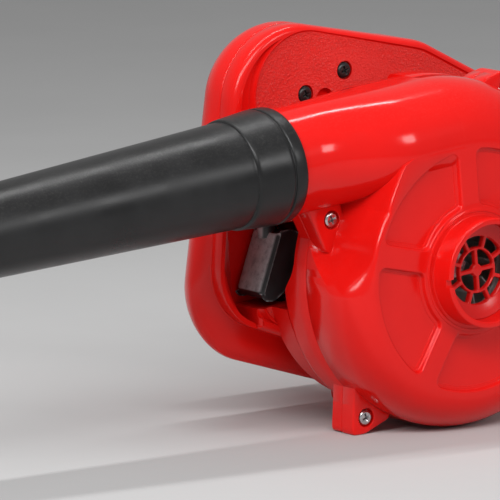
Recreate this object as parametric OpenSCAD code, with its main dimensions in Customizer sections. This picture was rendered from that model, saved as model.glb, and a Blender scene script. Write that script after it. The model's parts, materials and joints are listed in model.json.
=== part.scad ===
// Hand-held electric blower for drying cars: two-half scroll casing with a tangential outlet pipe and a push-on
// nozzle, a coaxial motor behind it, and a two-shell closed handle with a trigger.
// Working axes: fan axis along Y with the intake facing -Y, outlet pipe along -X. The origin is the centre of the
// intake collar's mouth. The finished part is turned by nose_droop about Y, so that it stands on the casing, the
// lower screw ear and the handle foot with +Z up.

/* [Stance] */
// Angle by which the nozzle points below the horizontal at rest, degrees
nose_droop = 6; // [4:0.5:8]

/* [Fan casing] */
// Radius of the spiral wall in the quarter next to the tongue
volute_r = 80.5; // [76:0.5:82]
// Growth of the spiral radius in each quarter turn
volute_growth = 5; // [4:0.5:6]
// Centre of the spiral, along X and Z alike
volute_shift = 1; // [0:0.5:2]
// Depth of the joint between the two casing halves
seam_y = 53.7; // [50:0.1:56]
// Depth of the flat front wall
face_y = 15.5; // [15:0.1:16]
// Depth of the casing's back
casing_back_y = 76; // [75:0.5:77]
// Wall thickness of the moulded casing
wall = 2.6; // [2:0.1:3]
// Radial width of the rounded front shoulder
shoulder_w = 12.5; // [10:0.5:13]
// Depth of the rounded front shoulder
shoulder_d = 19; // [14:0.5:22]

/* [Intake] */
// Outer radius of the intake collar
collar_r = 29; // [28:0.1:30]
// Bore radius of the intake collar
collar_bore_r = 25.6; // [25:0.1:26]
// Radius of the boss ring round the collar
boss_r = 32.5; // [32:0.1:34]
// Radius of the raised disc that carries the spokes
disc_r = 69; // [67:0.5:70]
// Outer radius of the sunken sectors
sector_r = 64.2; // [62:0.1:65]
// Width of a spoke between two sectors
spoke_w = 12; // [9:0.5:14]
// Number of spokes
spoke_count = 5; // [4:1:6]

/* [Outlet pipe and nozzle] */
// Height of the pipe axis above the fan axis
pipe_z = 70.3; // [69:0.1:71]
// Outer radius of the outlet pipe
pipe_r = 28.3; // [27.5:0.1:29]
// End of the pipe inside the nozzle
pipe_end_x = -124; // [-126:1:-118]
// Rear edge of the nozzle's collar
nozzle_rear_x = -96.7; // [-98:0.1:-95]
// Length of the nozzle
nozzle_len = 260; // [200:5:300]
// Outer radius of the nozzle's tip
tip_r = 21.4; // [20:0.1:23]

/* [Handle] */
// Depth of the joint between the handle shells
handle_seam_y = 100; // [98:0.5:102]
// Depth of the handle's front panel
panel_y = 88; // [87:0.5:89]
// Depth of the handle's back
handle_back_y = 135; // [130:1:140]
// Outer radius of the motor barrel
barrel_r = 42; // [41:0.5:44]
// Depth of the motor barrel's rear rim
barrel_end_y = 172; // [170:1:176]

/* [Moving parts] */
// Radius of the impeller
impeller_r = 56; // [50:1:58]
// Number of impeller blades
blade_count = 12; // [8:1:14]
// Radius of the motor shaft
shaft_r = 4; // [3.5:0.1:4.5]
// Radial running clearance of the shaft in its bearings
running_gap = 0.05; // [0.02:0.01:0.1]

/* [Hidden] */

// Collar's straight wall, whose middle is the origin
collar_lip = 0.8;
collar_end_y = face_y - 2.6;
collar_mid_y = (collar_lip + collar_end_y) / 2;
$fn = 96;
// A small overlap that makes a cut pass right through
eps = 0.5;
red = "#d8140e";
dark_red = "#c4120d";
black = "#1c1c1e";
steel = "#b9bcc0";
copper = "#b4642e";
brass = "#b59a4c";

// Spiral: four quarter arcs, whose centres are the corners of a square as wide as the growth
function quarter_r(k) = volute_r + volute_growth * k;
function quarter_x(k) = volute_shift + volute_growth / 2 * (k == 1 || k == 2 ? 1 : -1);
function quarter_z(k) = volute_shift + volute_growth / 2 * (k >= 2 ? 1 : -1);

// Floor in the working axes: the slanted line that the casing's lowest point touches
floor_drop = quarter_r(1) - quarter_x(1) * sin(nose_droop) - quarter_z(1) * cos(nose_droop);
function floor_z(x) = (-floor_drop - x * sin(nose_droop)) / cos(nose_droop);

// Screw ears: places of the screws on the front view
ear_front_y = 43.7;
ear_back_y = 61.7;
ear_recess = 2.4;
tongue_screw = [-69, 36.7];
foot_screw = [-56.7, -72.2];
rim_ear_angles = [56, 5, 318];
rim_ear_out = 3.5;
function rim_quarter(a) = a < 90 ? 3 : 2;
function rim_point(a, out) = let (k = rim_quarter(a)) [
    quarter_x(k) + (quarter_r(k) + out) * cos(a),
    quarter_z(k) + (quarter_r(k) + out) * sin(a)
];
casing_screws_at = concat([tongue_screw, foot_screw], [for (a = rim_ear_angles) rim_point(a, rim_ear_out)]);
screw_r = 1.9;
screw_hole_r = 2.05;
head_r = 4.2;
head_recess_r = 5;

// Handle outlines as circles [x, z, radius] that one hull wraps: at the seam, and at the fuller back shell
front_circles = [[-52, 90, 42], [18, 69.5, 42], [58, 58.5, 30], [25, -46, 30], [-74, 7, 34.5]];
back_circles = [[-52, 90, 42], [18, 69.5, 42], [58, 58.5, 30], [25, -57.5, 32], [-75, -5, 42]];
panel_circles = [[-45, 94, 34], [18, 69.5, 38], [58, 58.5, 26], [25, -46, 26], [-64, -6, 21]];
handle_wall = 2.6;
panel_t = 5.6;
handle_screws_at = [[-45.3, 94], [-18.5, 102], [56, 66], [68, 22], [40, -58], [-22, -44]];
spare_recess_at = [-33, 89.5];
handle_boss_r = 5.2;
back_full_y = 118;
back_round = 12;
neck_r = 80;

// Hand hole: the grip's underside above, the front arm at the left, the finger gap below and the barrel inside
hole_barrel_r = barrel_r + 4;
hand_hole = concat(
    [[-87, -23.5], [-91, -18], [-96, -8], [-99, 5], [-99.5, 20], [-97, 45], [-91, 64], [-80, 75]],
    [[-60, 79], [0, 79], [28, 76], [39, 67], [38, 54]],
    [for (a = [50:10:140]) [hole_barrel_r * cos(a), hole_barrel_r * sin(a)]],
    [[-58, 30], [-66, 28.5], [-86.5, 28.5]]
);

// Trigger: its finger face leans by trigger_tilt and the trigger travels square to that face
trigger_tilt = 25.5;
trigger_y0 = 88.3;
trigger_y1 = 111.7;
trigger_mid_y = (trigger_y0 + trigger_y1) / 2;
trigger_face_top = [-71.9, 24];
trigger_face_len = 32;
trigger_t = 2.6;
hub_at = [-70.5, 100];
hub_r = 4.7;
slot_x0 = -92;
slot_x1 = -48;
slot_z0 = -14;
slot_z1 = 28.5;
slot_back_y = 112.3;
// Place on the inner side of the finger face where the plunger starts, and the switch's reach from there
plunger_at = 17;
switch_s0 = 13;
switch_s1 = 31;
switch_half = 7;

// Lock-on button and its pocket
lock_at = [-66, 8];
lock_r = 4.6;
lock_flange_r = 6;
lock_y0 = 123;
pocket_r = 6.4;
pocket_y0 = 114.3;

// Step between the two halves' feet
foot_step = 0.4;

// Flank under the outlet pipe: its width, the depth where it flares to the seam, and the angle where it ends
flank_w = 12;
flank_y = 45;
flank_end = 166;

// Supply cord's inlet and the clamp behind it
inlet_at = [54, 116, -36];
inlet_tilt = 16;
inlet_flange_s = 9.8;
clamp_x = 41.5;
clamp_reach = 8.2;
clamp_y = 111;
// The clamp is centred on the slanting cord
clamp_z = inlet_at[2] + (inlet_at[0] - clamp_x) * tan(inlet_tilt);

// Motor, from front to back
front_bearing_y = 77.5;
front_bearing_w = 8;
rear_bearing_y = 163;
rear_bearing_w = 7;
cooling_fan_y = 89;
core_y0 = 106;
core_y1 = 140;
core_r = 17.6;
pole_r = 18.4;
yoke_in_r = 27;
yoke_r = 30.5;
coil_reach = 7;
commutator_y0 = 149;
commutator_y1 = 161;
commutator_r = 11;
brush_y = 155;
cap_y1 = 179;
cap_screw_r = 1.6;
cap_boss_r = 4.2;
cap_screws_at = [for (a = [45, 135, 225, 315]) [35.8 * cos(a), 35.8 * sin(a)]];
field_screw_r = 1.4;
field_screws_at = [[0, 28.7], [0, -28.7]];
brush_cap_r = 6;
brush_cap_x = 36.6;

// Screws that hold the handle to the casing, driven from inside the casing
fixing_screws_at = [for (a = [25, 215, 325]) [62 * cos(a), 62 * sin(a)]];

// ---------- helpers ----------

// Sets the part on its feet
module stand() translate([0, -collar_mid_y, 0]) rotate([0, -nose_droop, 0]) children();

// Cylinder along Y from y0 to y1, about a point of the front view
module y_rod(r, y0, y1, at = [0, 0]) translate([at[0], y1, at[1]]) rotate([90, 0, 0]) cylinder(r = r, h = y1 - y0);

// Tube along Y
module y_tube(r, r_in, y0, y1, at = [0, 0]) difference() {
    y_rod(r, y0, y1, at);
    y_rod(r_in, y0 - eps, y1 + eps, at);
}

// Turned shape about Y from points [radius, depth], from angle a0 on, over the angle a
module y_turned(points, a0 = 0, a = 360)
    rotate([90, 0, 0]) rotate([0, 0, a0]) rotate_extrude(angle = a) polygon([for (p = points) [p[0], -p[1]]]);

// Front-view outline given depth from y0 to y1
module y_plate(points, y0, y1)
    translate([0, y1, 0]) rotate([90, 0, 0]) linear_extrude(y1 - y0) polygon(points);

// Turned shape about the pipe's axis from points [x, radius], started a part turn round from the back
module pipe_turned(points, start = 0) translate([0, seam_y, pipe_z]) rotate([start, 0, 0]) rotate([0, 90, 0])
    rotate_extrude() polygon([for (p = points) [p[1], p[0]]]);

// Box from two corners
module block(lo, hi) translate(lo) cube(hi - lo);

// Pan-head screw along +Y, its head's underside at y
module pan_screw(at, y, len, r = screw_r, r_head = head_r, h_head = 2.4) difference() {
    union() {
        y_rod(r_head * 0.8, y - h_head, y - h_head / 2, at);
        y_rod(r_head, y - h_head / 2, y, at);
        y_rod(r, y - 0.1, y + len, at);
    }
    for (turn = [0, 90])
        translate([at[0], y - h_head, at[1]]) rotate([0, turn, 0]) cube([r_head, 2.2, 0.9], center = true);
}

// Coil spring: one wire swept along a helix
module coil(r, wire_r, len, turns, sides = 5, steps = 9) {
    n = turns * steps;
    points = [for (i = [0:n], j = [0:sides - 1]) let (
        a = 360 * i / steps, b = 360 * j / sides,
        q = r + wire_r * cos(b))
        [q * cos(a), q * sin(a), wire_r + (len - 2 * wire_r) * i / n + wire_r * sin(b)]];
    quads = [for (i = [0:n - 1], j = [0:sides - 1]) let (
        p = i * sides + j, q = i * sides + (j + 1) % sides) [p, q, q + sides, p + sides]];
    triangles = [for (f = quads) for (t = [[f[0], f[1], f[2]], [f[0], f[2], f[3]]]) t];
    caps = [[for (j = [sides - 1:-1:0]) j], [for (j = [0:sides - 1]) n * sides + j]];
    polyhedron(points, concat(triangles, caps));
}

// ---------- fan casing ----------

// Front-to-back profile of a casing quarter of radius r, with its shoulder rounded as a quarter ellipse
function quarter_profile(r, y0, y1, sw, sd) = concat(
    [[0, y0]],
    [for (i = [0:8]) let (t = 90 * i / 8) [r - sw + sw * sin(t), y0 + sd - sd * cos(t)]],
    [[r, y1], [0, y1]]
);

// The spiral body, drawn in by inset, from depth y0 to y1, less the slanting flank in front of the upper screw ear
module spiral(inset, y0, y1, sw = shoulder_w, sd = shoulder_d) {
    difference() {
        for (k = [0:3])
            translate([quarter_x(k), 0, quarter_z(k)])
                y_turned(quarter_profile(quarter_r(k) - inset, y0, y1, sw, sd), 90 + 90 * k, 90);
        translate([quarter_x(0), 0, quarter_z(0)]) flank_cut(quarter_r(0) - inset, y0);
    }
    y_rod(40, y0, y1);
}

// Ring sector outside the flank: nearly straight back from the face, then flaring out to the seam
module flank_cut(r, y0) y_turned([[r - flank_w, y0 - 2], [r - flank_w, y0 + 0.1], [r - flank_w + 1, y0 + 4],
    [r - flank_w + 2, 32], [r - flank_w + 3.3, flank_y], [r + 0.3, seam_y - 0.2], [r + 8, seam_y - 0.2], [r + 8, y0 - 2]],
    94, flank_end - 94);

// Blend between the round pipe and the casing's top, drawn in by inset
module pipe_blend(inset) hull() {
    translate([-84, seam_y, pipe_z]) rotate([0, 90, 0]) cylinder(r = pipe_r - inset, h = 1, $fn = 48);
    translate([-14, seam_y - 3.5, pipe_z - 1]) rotate([0, 90, 0]) cylinder(r = 27 - inset, h = 12, $fn = 48);
    translate([-14, seam_y - 20, pipe_z - 12]) rotate([0, 90, 0]) cylinder(r = 16 - inset, h = 12, $fn = 32);
}

// Outer form of both halves together
module casing_outside() {
    spiral(0, face_y, casing_back_y);
    pipe_turned([[pipe_end_x, 0], [pipe_end_x, pipe_r - 0.8], [pipe_end_x + 1.5, pipe_r], [0, pipe_r], [0, 0]]);
    pipe_blend(0);
}

// Air space of both halves together
module casing_inside() {
    spiral(wall, face_y + wall + 1.6, casing_back_y - wall);
    pipe_turned([[pipe_end_x - eps, 0], [pipe_end_x - eps, pipe_r - wall], [-2, pipe_r - wall], [-2, 0]]);
    pipe_blend(wall);
}

// Scoop in the casing's rear flank that makes room for the trigger; grow thickens it into the air space
module trigger_scoop(grow) {
    translate([-120, 0, 0]) rotate([90, 0, 90]) linear_extrude(56 + grow)
        polygon([[64 - grow, 41 + grow], [64 - grow, 9 - grow], [76 - grow, -7 - grow], [90, -7 - grow],
            [90, 41 + grow]]);
}

// Screw ears as front-view outlines
function foot_ear(up) = [[-62.9, -52], [-66.3, -78], [-65.5, floor_z(-65.5) + up], [-59, floor_z(-59) + up],
    [-40.5, -75.5], [-44, -62]];
tongue_ear = [[-84.7, 45.5], [-62.6, 46], [-61.4, 39], [-62.2, 34], [-68.1, 19.4], [-74.5, 22], [-78, 31]];
function rim_ear(a) = let (k = rim_quarter(a)) [for (p = [[-6, -12], [2, -9], [10, -3], [10, 3], [2, 9], [-6, 12]])
    [quarter_x(k) + (quarter_r(k) + p[0]) * cos(a + p[1]), quarter_z(k) + (quarter_r(k) + p[0]) * sin(a + p[1])]];

// The foot of the back half ends foot_up above the floor, so that the front half alone carries the load
module ears(y0, y1, foot_up = 0) {
    y_plate(foot_ear(foot_up), y0, y1);
    y_plate(tongue_ear, y0, y1);
    for (a = rim_ear_angles) y_plate(rim_ear(a), y0, y1);
}

module screw_holes(places, r, y0, y1) for (p = places) y_rod(r, y0, y1, p);

// Sunken sectors between the spokes, as two steps
module sectors(r0, r1, bar, y0, y1) difference() {
    y_tube(r1, r0, y0, y1);
    for (i = [0:spoke_count - 1]) rotate([0, -90 - 360 / spoke_count * i, 0])
        block([0, y0 - eps, -bar / 2], [r1 + 5, y1 + eps, bar / 2]);
}

module half_space(front) block(front ? [-200, -20, -150] : [-200, seam_y, -150],
    front ? [150, seam_y, 150] : [150, 120, 150]);

module fan_casing_front() color(red) stand() difference() {
    union() {
        intersection() {
            casing_outside();
            half_space(true);
        }
        ears(ear_front_y, seam_y);
        y_rod(disc_r, face_y - 1.9, face_y + 1);
        y_turned([[20, collar_lip], [collar_r - 1, 0], [collar_r, collar_lip], [collar_r, collar_end_y], [boss_r, face_y - 1.8],
            [boss_r, face_y + 3], [20, face_y + 3]]);
    }
    difference() {
        casing_inside();
        y_rod(boss_r, face_y, face_y + 5.2);
    }
    sectors(boss_r, sector_r, spoke_w, face_y - 4, face_y + 0.9);
    sectors(boss_r + 1.8, sector_r - 1.8, spoke_w + 3.6, face_y - 4, face_y + 1.6);
    y_rod(collar_bore_r, -eps, face_y + 0.5);
    y_rod(23.5, 0, 30);
    for (a = [175, 355]) rotate([0, -a, 0]) block([collar_bore_r - 1, -1, -2], [collar_r + 1, 3, 2]);
    screw_holes(casing_screws_at, head_recess_r, 20, ear_front_y + ear_recess);
    screw_holes(casing_screws_at, screw_hole_r, 20, seam_y + eps);
}

module fan_casing_back() color(red) stand() difference() {
    union() {
        intersection() {
            difference() {
                casing_outside();
                trigger_scoop(0);
            }
            half_space(false);
        }
        ears(seam_y, ear_back_y, foot_step);
        y_rod(15, casing_back_y - wall - 2, front_bearing_y + front_bearing_w);
    }
    difference() {
        casing_inside();
        trigger_scoop(wall);
        y_rod(15, casing_back_y - wall - 2, 80);
    }
    y_rod(11.02, front_bearing_y, front_bearing_y + front_bearing_w + eps);
    y_rod(6, 60, 100);
    screw_holes(casing_screws_at, screw_hole_r, seam_y - eps, ear_back_y - 1.6);
    for (p = fixing_screws_at) y_rod(screw_hole_r, 60, 90, p);
}

module intake_grille() color(dark_red) stand() difference() {
    y_turned([[0, 12.6], [17.5, 12.6], [20, 11.6], [23, 10.8], [25.5, 10.2], [25.5, face_y + 0.5], [20, face_y + 0.5],
        [19, 15.4], [0, 15.4]]);
    difference() {
        y_tube(18, 12.3, 5, 25);
        for (i = [0:7]) rotate([0, 22.5 + 45 * i, 0]) block([0, 0, -1.1], [20, 30, 1.1]);
    }
    difference() {
        y_tube(10.9, 3.4, 5, 25);
        for (i = [0:3]) rotate([0, 90 * i, 0]) block([0, 0, -1.1], [20, 30, 1.1]);
    }
}

module casing_screws() color(steel) stand()
    for (p = casing_screws_at) pan_screw(p, ear_front_y + ear_recess, 13);

module nozzle() color(black) stand() {
    tip_x = nozzle_rear_x - nozzle_len;
    fit_r = pipe_r + 0.06;
    pipe_turned([[nozzle_rear_x, fit_r], [nozzle_rear_x, 29.9], [nozzle_rear_x - 1, 30.4], [-104, 30.8],
        [-104.4, 29.9], [-105.2, 29.9], [-105.6, 30.7], [-126.6, 29], [-127.6, 28.6], [-127.7, 27.9],
        [tip_x + 14, tip_r], [tip_x, tip_r], [tip_x, tip_r - 2.4], [tip_x + 16, tip_r - 2.4], [-128, 25.4],
        [pipe_end_x - 1.5, 25.6], [pipe_end_x - 1.5, fit_r]], 90);
}

// ---------- rotor ----------

// Backward-leaning impeller blade, a thin arc seen from the front
function blade_point(t, side) = let (r = 19 + (impeller_r - 20) * t, a = -34 * t) [
    r * cos(a) + side * 0.7 * sin(a + 40), r * sin(a) - side * 0.7 * cos(a + 40)];
blade = concat([for (i = [0:6]) blade_point(i / 6, 1)], [for (i = [6:-1:0]) blade_point(i / 6, -1)]);

module impeller() color("#d9d9d6") stand() difference() {
    union() {
        y_rod(impeller_r, 62, 64);
        y_turned([[0, 38], [9, 38], [11, 42], [13, 62], [0, 62]]);
        y_tube(impeller_r, 27, 28.6, 30.2);
        for (i = [0:blade_count - 1]) rotate([0, 360 / blade_count * i, 0]) y_plate(blade, 30, 62.2);
    }
    y_rod(shaft_r, 30, 70);
}

module impeller_washer() color(steel) stand() y_tube(8, shaft_r, 36.4, 38);

module impeller_nut() color(steel) stand() difference() {
    translate([0, 36.4, 0]) rotate([90, 0, 0]) cylinder(r = 7.2, h = 5.4, $fn = 6);
    y_rod(shaft_r, 20, 40);
}

module motor_shaft() color(steel) stand() {
    y_rod(shaft_r, 29.5, 171.5);
}

module armature_core() color("#8d9095") stand() difference() {
    y_rod(core_r, core_y0, core_y1);
    y_rod(shaft_r, core_y0 - eps, core_y1 + eps);
    for (i = [0:11]) rotate([0, 30 * i, 0]) {
        block([core_r - 3, core_y0 - eps, -0.9], [core_r + 1, core_y1 + eps, 0.9]);
        y_rod(2, core_y0 - eps, core_y1 + eps, [core_r - 4.2, 0]);
    }
}

module armature_windings() color(copper) stand() {
    y_turned([[8, core_y0], [16, core_y0], [16.4, 102], [14, 98.4], [9, 98.4], [8, 100]]);
    y_turned([[8, core_y1], [16, core_y1], [16.4, 143], [14, 147.4], [9, 147.4], [8, 146]]);
    for (i = [0:11]) rotate([0, 30 * i, 0]) y_rod(1.8, core_y0, core_y1, [core_r - 4.2, 0]);
}

module commutator() color(copper) stand() difference() {
    union() {
        y_rod(commutator_r, commutator_y0, commutator_y1);
        y_rod(commutator_r + 1.6, commutator_y0, commutator_y0 + 1.6);
    }
    y_rod(shaft_r, commutator_y0 - eps, commutator_y1 + eps);
    for (i = [0:23]) rotate([0, 15 * i, 0])
        block([commutator_r - 0.8, commutator_y0 + 2, -0.25], [commutator_r + 1, commutator_y1 + eps, 0.25]);
}

module cooling_fan() color(black) stand() difference() {
    union() {
        y_rod(9, cooling_fan_y - 1, cooling_fan_y + 8);
        y_rod(27, cooling_fan_y, cooling_fan_y + 1.6);
        for (i = [0:8]) rotate([0, 40 * i, 0]) translate([0, 0, -5])
            block([9, cooling_fan_y + 1, -0.8], [26, cooling_fan_y + 7, 0.8]);
    }
    y_rod(shaft_r, 80, 100);
}

// ---------- motor, fixed pieces ----------

module ball_bearing(r, y0, w) color(steel) stand() difference() {
    y_rod(r, y0, y0 + w);
    y_rod(shaft_r + running_gap, y0 - eps, y0 + w + eps);
    for (y = [y0 - eps, y0 + w - 0.6]) y_tube(r * 0.84, r * 0.58, y, y + 0.6 + eps);
}

module front_bearing() ball_bearing(11, front_bearing_y, front_bearing_w);

module rear_bearing() ball_bearing(9.5, rear_bearing_y, rear_bearing_w);

module bearing_sleeve() color(black) stand() y_tube(11, 9.5, rear_bearing_y, rear_bearing_y + rear_bearing_w);

module field_core() color("#8d9095") stand() difference() {
    union() {
        y_tube(yoke_r, yoke_in_r, core_y0, core_y1);
        for (side = [0, 180])
            y_turned([[pole_r, core_y0], [pole_r + 2.4, core_y0], [pole_r + 2.4, core_y1], [pole_r, core_y1]],
                side - 48, 96);
        for (side = [-1, 1]) block([min(side * 20, side * 28), core_y0, -11], [max(side * 20, side * 28), core_y1, 11]);
    }
    screw_holes(field_screws_at, field_screw_r + 0.1, core_y0 - eps, core_y1 + eps);
}

module field_coils() color(copper) stand() for (side = [0, 180]) difference() {
    y_turned([[21.4, core_y0 - coil_reach], [26.6, core_y0 - coil_reach], [26.6, core_y1 + coil_reach],
        [21.4, core_y1 + coil_reach]], side - 78, 156);
    y_turned([[20, core_y0 - 1], [28, core_y0 - 1], [28, core_y1 + 1], [20, core_y1 + 1]], side - 34, 68);
}

module field_screws() color(steel) stand() for (p = field_screws_at)
    pan_screw(p, core_y0, core_y1 - core_y0 + 5, field_screw_r, 2.6, 1.8);

module air_baffle() color(black) stand() y_tube(barrel_r - handle_wall, 30, 101, 102.6);

module bearing_bracket() color(black) stand() difference() {
    union() {
        y_tube(barrel_r - handle_wall, 36.4, 164, barrel_end_y);
        y_rod(13.6, rear_bearing_y, rear_bearing_y + rear_bearing_w + 1.6);
        for (a = [0, 90]) rotate([0, a, 0]) block([-37.5, 164.5, -3.5], [37.5, 169, 3.5]);
    }
    y_rod(11, rear_bearing_y - 1, rear_bearing_y + rear_bearing_w);
    y_rod(5.5, 150, 180);
    screw_holes(cap_screws_at, cap_boss_r, 150, 180);
}

// Brush gear is drawn on the +X side and mirrored to the other
module both_sides() for (m = [0, 1]) mirror([m, 0, 0]) children();

module brush_holders() color(brass) stand() both_sides() difference() {
    block([13.2, brush_y - 4.6, -4], [brush_cap_x, brush_y + 4.6, 4]);
    block([12, brush_y - 3.4, -2.8], [37, brush_y + 3.4, 2.8]);
}

module carbon_brushes() color("#2b2b2d") stand() both_sides()
    block([commutator_r + 0.3, brush_y - 3.3, -2.7], [25, brush_y + 3.3, 2.7]);

module brush_springs() color(steel) stand() both_sides()
    translate([25, brush_y, 0]) rotate([0, 90, 0]) coil(1.9, 0.3, 11.4, 7);

module brush_caps() color(black) stand() both_sides() difference() {
    translate([brush_cap_x, brush_y, 0]) rotate([0, 90, 0]) cylinder(r = brush_cap_r, h = 6.6);
    block([42.2, brush_y - 4.5, -0.6], [44, brush_y + 4.5, 0.6]);
}

// ---------- handle ----------

module wrap(circles, inset, y0, y1) for (c = circles) y_rod(c[2] - inset, y0, y1, [c[0], c[1]], $fn = 48);

module front_body(inset, y_front) hull() {
    wrap(front_circles, inset, panel_y + 4.5 + y_front, handle_seam_y, $fn = 48);
    wrap(front_circles, inset + 3.5, panel_y + y_front, panel_y + y_front + 1, $fn = 48);
}

module back_body(inset, y_back) hull() {
    wrap(front_circles, inset, handle_seam_y, handle_seam_y + 1, $fn = 48);
    wrap(back_circles, inset, back_full_y, back_full_y + 1, $fn = 48);
    wrap(back_circles, inset + back_round, handle_back_y - y_back - 1, handle_back_y - y_back, $fn = 48);
}

module hand_hole_prism(grow) translate([0, 160, 0]) rotate([90, 0, 0]) linear_extrude(90)
    offset(delta = grow) polygon(hand_hole);

// Room for the trigger, open to the space inside the shells on the switch's side
module trigger_room(y0, y1, grow = 0)
    block([slot_x0 - grow, y0, slot_z0 - grow], [grow > 0 ? -69 : slot_x1, y1, slot_z1 + grow]);

// Front shell's lip beside the finger gap: the thin outer wall alone
module finger_gap() intersection() {
    wrap_plate(2.8, 60, handle_seam_y);
    block([-130, 60, -24], [-87, 110, 76]);
}

module wrap_plate(inset, y0, y1) hull() wrap(front_circles, inset, y0, y1);

module handle_front_shell() color(red) stand() difference() {
    union() {
        difference() {
            front_body(0, 0);
            difference() {
                front_body(handle_wall, panel_t);
                hand_hole_prism(handle_wall);
                trigger_room(80, 110, handle_wall);
                for (p = handle_screws_at) y_rod(handle_boss_r, 80, 101, p);
                for (p = fixing_screws_at) y_rod(handle_boss_r, 80, 101, p);
                y_rod(8.5, 80, 96, spare_recess_at);
            }
            block([-200, handle_seam_y, -150], [200, handle_seam_y + 20, 200]);
        }
        difference() {
            y_tube(neck_r, neck_r - 2.6, casing_back_y, panel_y + 2);
            block([-90, 70, 34], [90, 100, 90]);
        }
        y_tube(barrel_r + 2, barrel_r - 1, panel_y, handle_seam_y);
        for (p = fixing_screws_at) y_rod(handle_boss_r + 1, casing_back_y, panel_y + 2, p);
        block([-50.5, 93, -11], [-46.5, 94, -4]);
        block([51, 93, 30], [57, 104, 48]);
        block([50, 93, -18], [58, 104, -10]);
    }
    difference() {
        union() {
            hull() wrap(panel_circles, 0, panel_y - 1, panel_y + 1.2);
            difference() {
                wrap_plate(5.5, panel_y - 1, panel_y + 3.2);
                hull() wrap(panel_circles, -1.5, panel_y - 2, panel_y + 5);
            }
        }
        y_rod(neck_r, 60, 100);
    }
    hand_hole_prism(0);
    finger_gap();
    block([-120, 60, -40], [-88, 91.8, 50]);
    trigger_room(60, 110);
    block([-120, 60, -7], [-50, panel_y, 45]);
    y_rod(barrel_r - 1, 60, 110);
    y_rod(5.6, 80, panel_y + 4.6, spare_recess_at);
    screw_holes(handle_screws_at, head_recess_r, 60, panel_y + 3.6);
    screw_holes(handle_screws_at, screw_hole_r, 60, 110);
    screw_holes(fixing_screws_at, screw_hole_r, 60, 97);
}

module barrel_sides() for (m = [0, 1]) mirror([m, 0, 0]) translate([0, brush_y, 0]) rotate([0, 90, 0]) children();

module handle_back_shell() color(red) stand() difference() {
    union() {
        difference() {
            union() {
                back_body(0, 0);
                y_plate([[-14, -64], [-14, floor_z(-14)], [50, floor_z(50)], [50, -64]], 106, 130);
            }
            difference() {
                back_body(handle_wall, handle_wall);
                hand_hole_prism(handle_wall);
                trigger_room(90, slot_back_y + 2.2, handle_wall);
                for (p = handle_screws_at) y_rod(handle_boss_r - 0.6, 90, 140, p);
                for (s = [-1, 1]) y_rod(3.2, clamp_y, 140, [clamp_x, clamp_z + s * clamp_reach]);
                y_rod(pocket_r + 2, slot_back_y, 140, lock_at);
            }
        }
        y_rod(barrel_r, handle_seam_y, barrel_end_y);
        barrel_sides() translate([0, 0, barrel_r - 4]) cylinder(r = 8.4, h = 5);
        block([-50.5, 107.5, -11], [-46.5, 134, -4]);
    }
    hand_hole_prism(0);
    trigger_room(90, slot_back_y);
    difference() {
        y_rod(barrel_r - handle_wall, 90, barrel_end_y + eps);
        barrel_sides() translate([0, 0, 33.4]) cylinder(r = 8.4, h = 10);
        screw_holes(cap_screws_at, cap_boss_r, 150, barrel_end_y);
        difference() {
            for (a = [0:90:270]) rotate([0, a + 45, 0]) block([25, core_y0 - 2, -2.5], [45, core_y1 + 2, 2.5]);
            y_rod(yoke_r, 90, 150);
        }
        for (s = [-1, 1]) block([-4, core_y1, min(s * 27, s * 45)], [4, core_y1 + 9, max(s * 27, s * 45)]);
    }
    barrel_sides() translate([0, 0, brush_cap_x]) cylinder(r = brush_cap_r + 0.02, h = 12);
    for (s = [0, 1]) mirror([s, 0, 0]) block([30, brush_y - 4.6, -4], [40, brush_y + 4.6, 4]);
    screw_holes(handle_screws_at, screw_hole_r, 90, 124);
    screw_holes(cap_screws_at, cap_screw_r + 0.1, 155, 180);
    screw_holes(field_screws_at, field_screw_r + 0.1, core_y1 - 1, core_y1 + 6);
    screw_holes([for (s = [-1, 1]) [clamp_x, clamp_z + s * clamp_reach]], 1.6, 100, 124);
    y_rod(pocket_r, pocket_y0, lock_y0 + 2.4, lock_at);
    y_rod(lock_r + 0.3, 120, 150, lock_at);
    inlet_axis() cylinder(r = 7.05, h = 40, center = true);
}

module handle_screws() color(black) stand()
    for (p = handle_screws_at) pan_screw(p, panel_y + 3.6, 24, screw_r, 4.3, 3);

module motor_fixing_screws() color(steel) stand()
    for (p = fixing_screws_at) pan_screw(p, casing_back_y - wall, 20);

module motor_end_cap() color(red) stand() difference() {
    union() {
        y_rod(barrel_r, barrel_end_y, barrel_end_y + 3);
        y_turned([[0, 174], [barrel_r - 2, 174], [barrel_r - 3, 176.5], [barrel_r - 8, cap_y1], [0, cap_y1]]);
    }
    difference() {
        y_rod(34, barrel_end_y - eps, cap_y1 - 2.4);
        screw_holes(cap_screws_at, cap_boss_r, 160, 190);
    }
    difference() {
        for (z = [-24:6:24]) block([-30, 170, z - 1.5], [30, 190, z + 1.5]);
        for (x = [-31, 31]) y_rod(7, 160, 190, [x, 0]);
        block([-2, 160, -40], [2, 200, 40]);
    }
    screw_holes(cap_screws_at, cap_screw_r + 0.1, 160, 190);
    screw_holes(cap_screws_at, 4.6, cap_y1 - 3, 190);
}

module end_cap_screws() color(steel) stand()
    for (p = cap_screws_at) mirror([0, 1, 0]) pan_screw(p, -(cap_y1 - 3), 18, cap_screw_r, 4, 2.2);

// ---------- switch gear ----------

// Frame on the trigger's travel: local Z runs the way the trigger is pressed, the origin on the face's outer top
// edge, local X down the face
module on_travel() translate([trigger_face_top[0], trigger_mid_y, trigger_face_top[1]])
    rotate([0, 90 + trigger_tilt, 0]) children();

// Rod along the travel at the plunger's height, from s0 to s1 behind the face's inner side
module travel_rod(r, s0, s1) on_travel() translate([plunger_at, 0, trigger_t + s0]) cylinder(r = r, h = s1 - s0);

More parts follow.
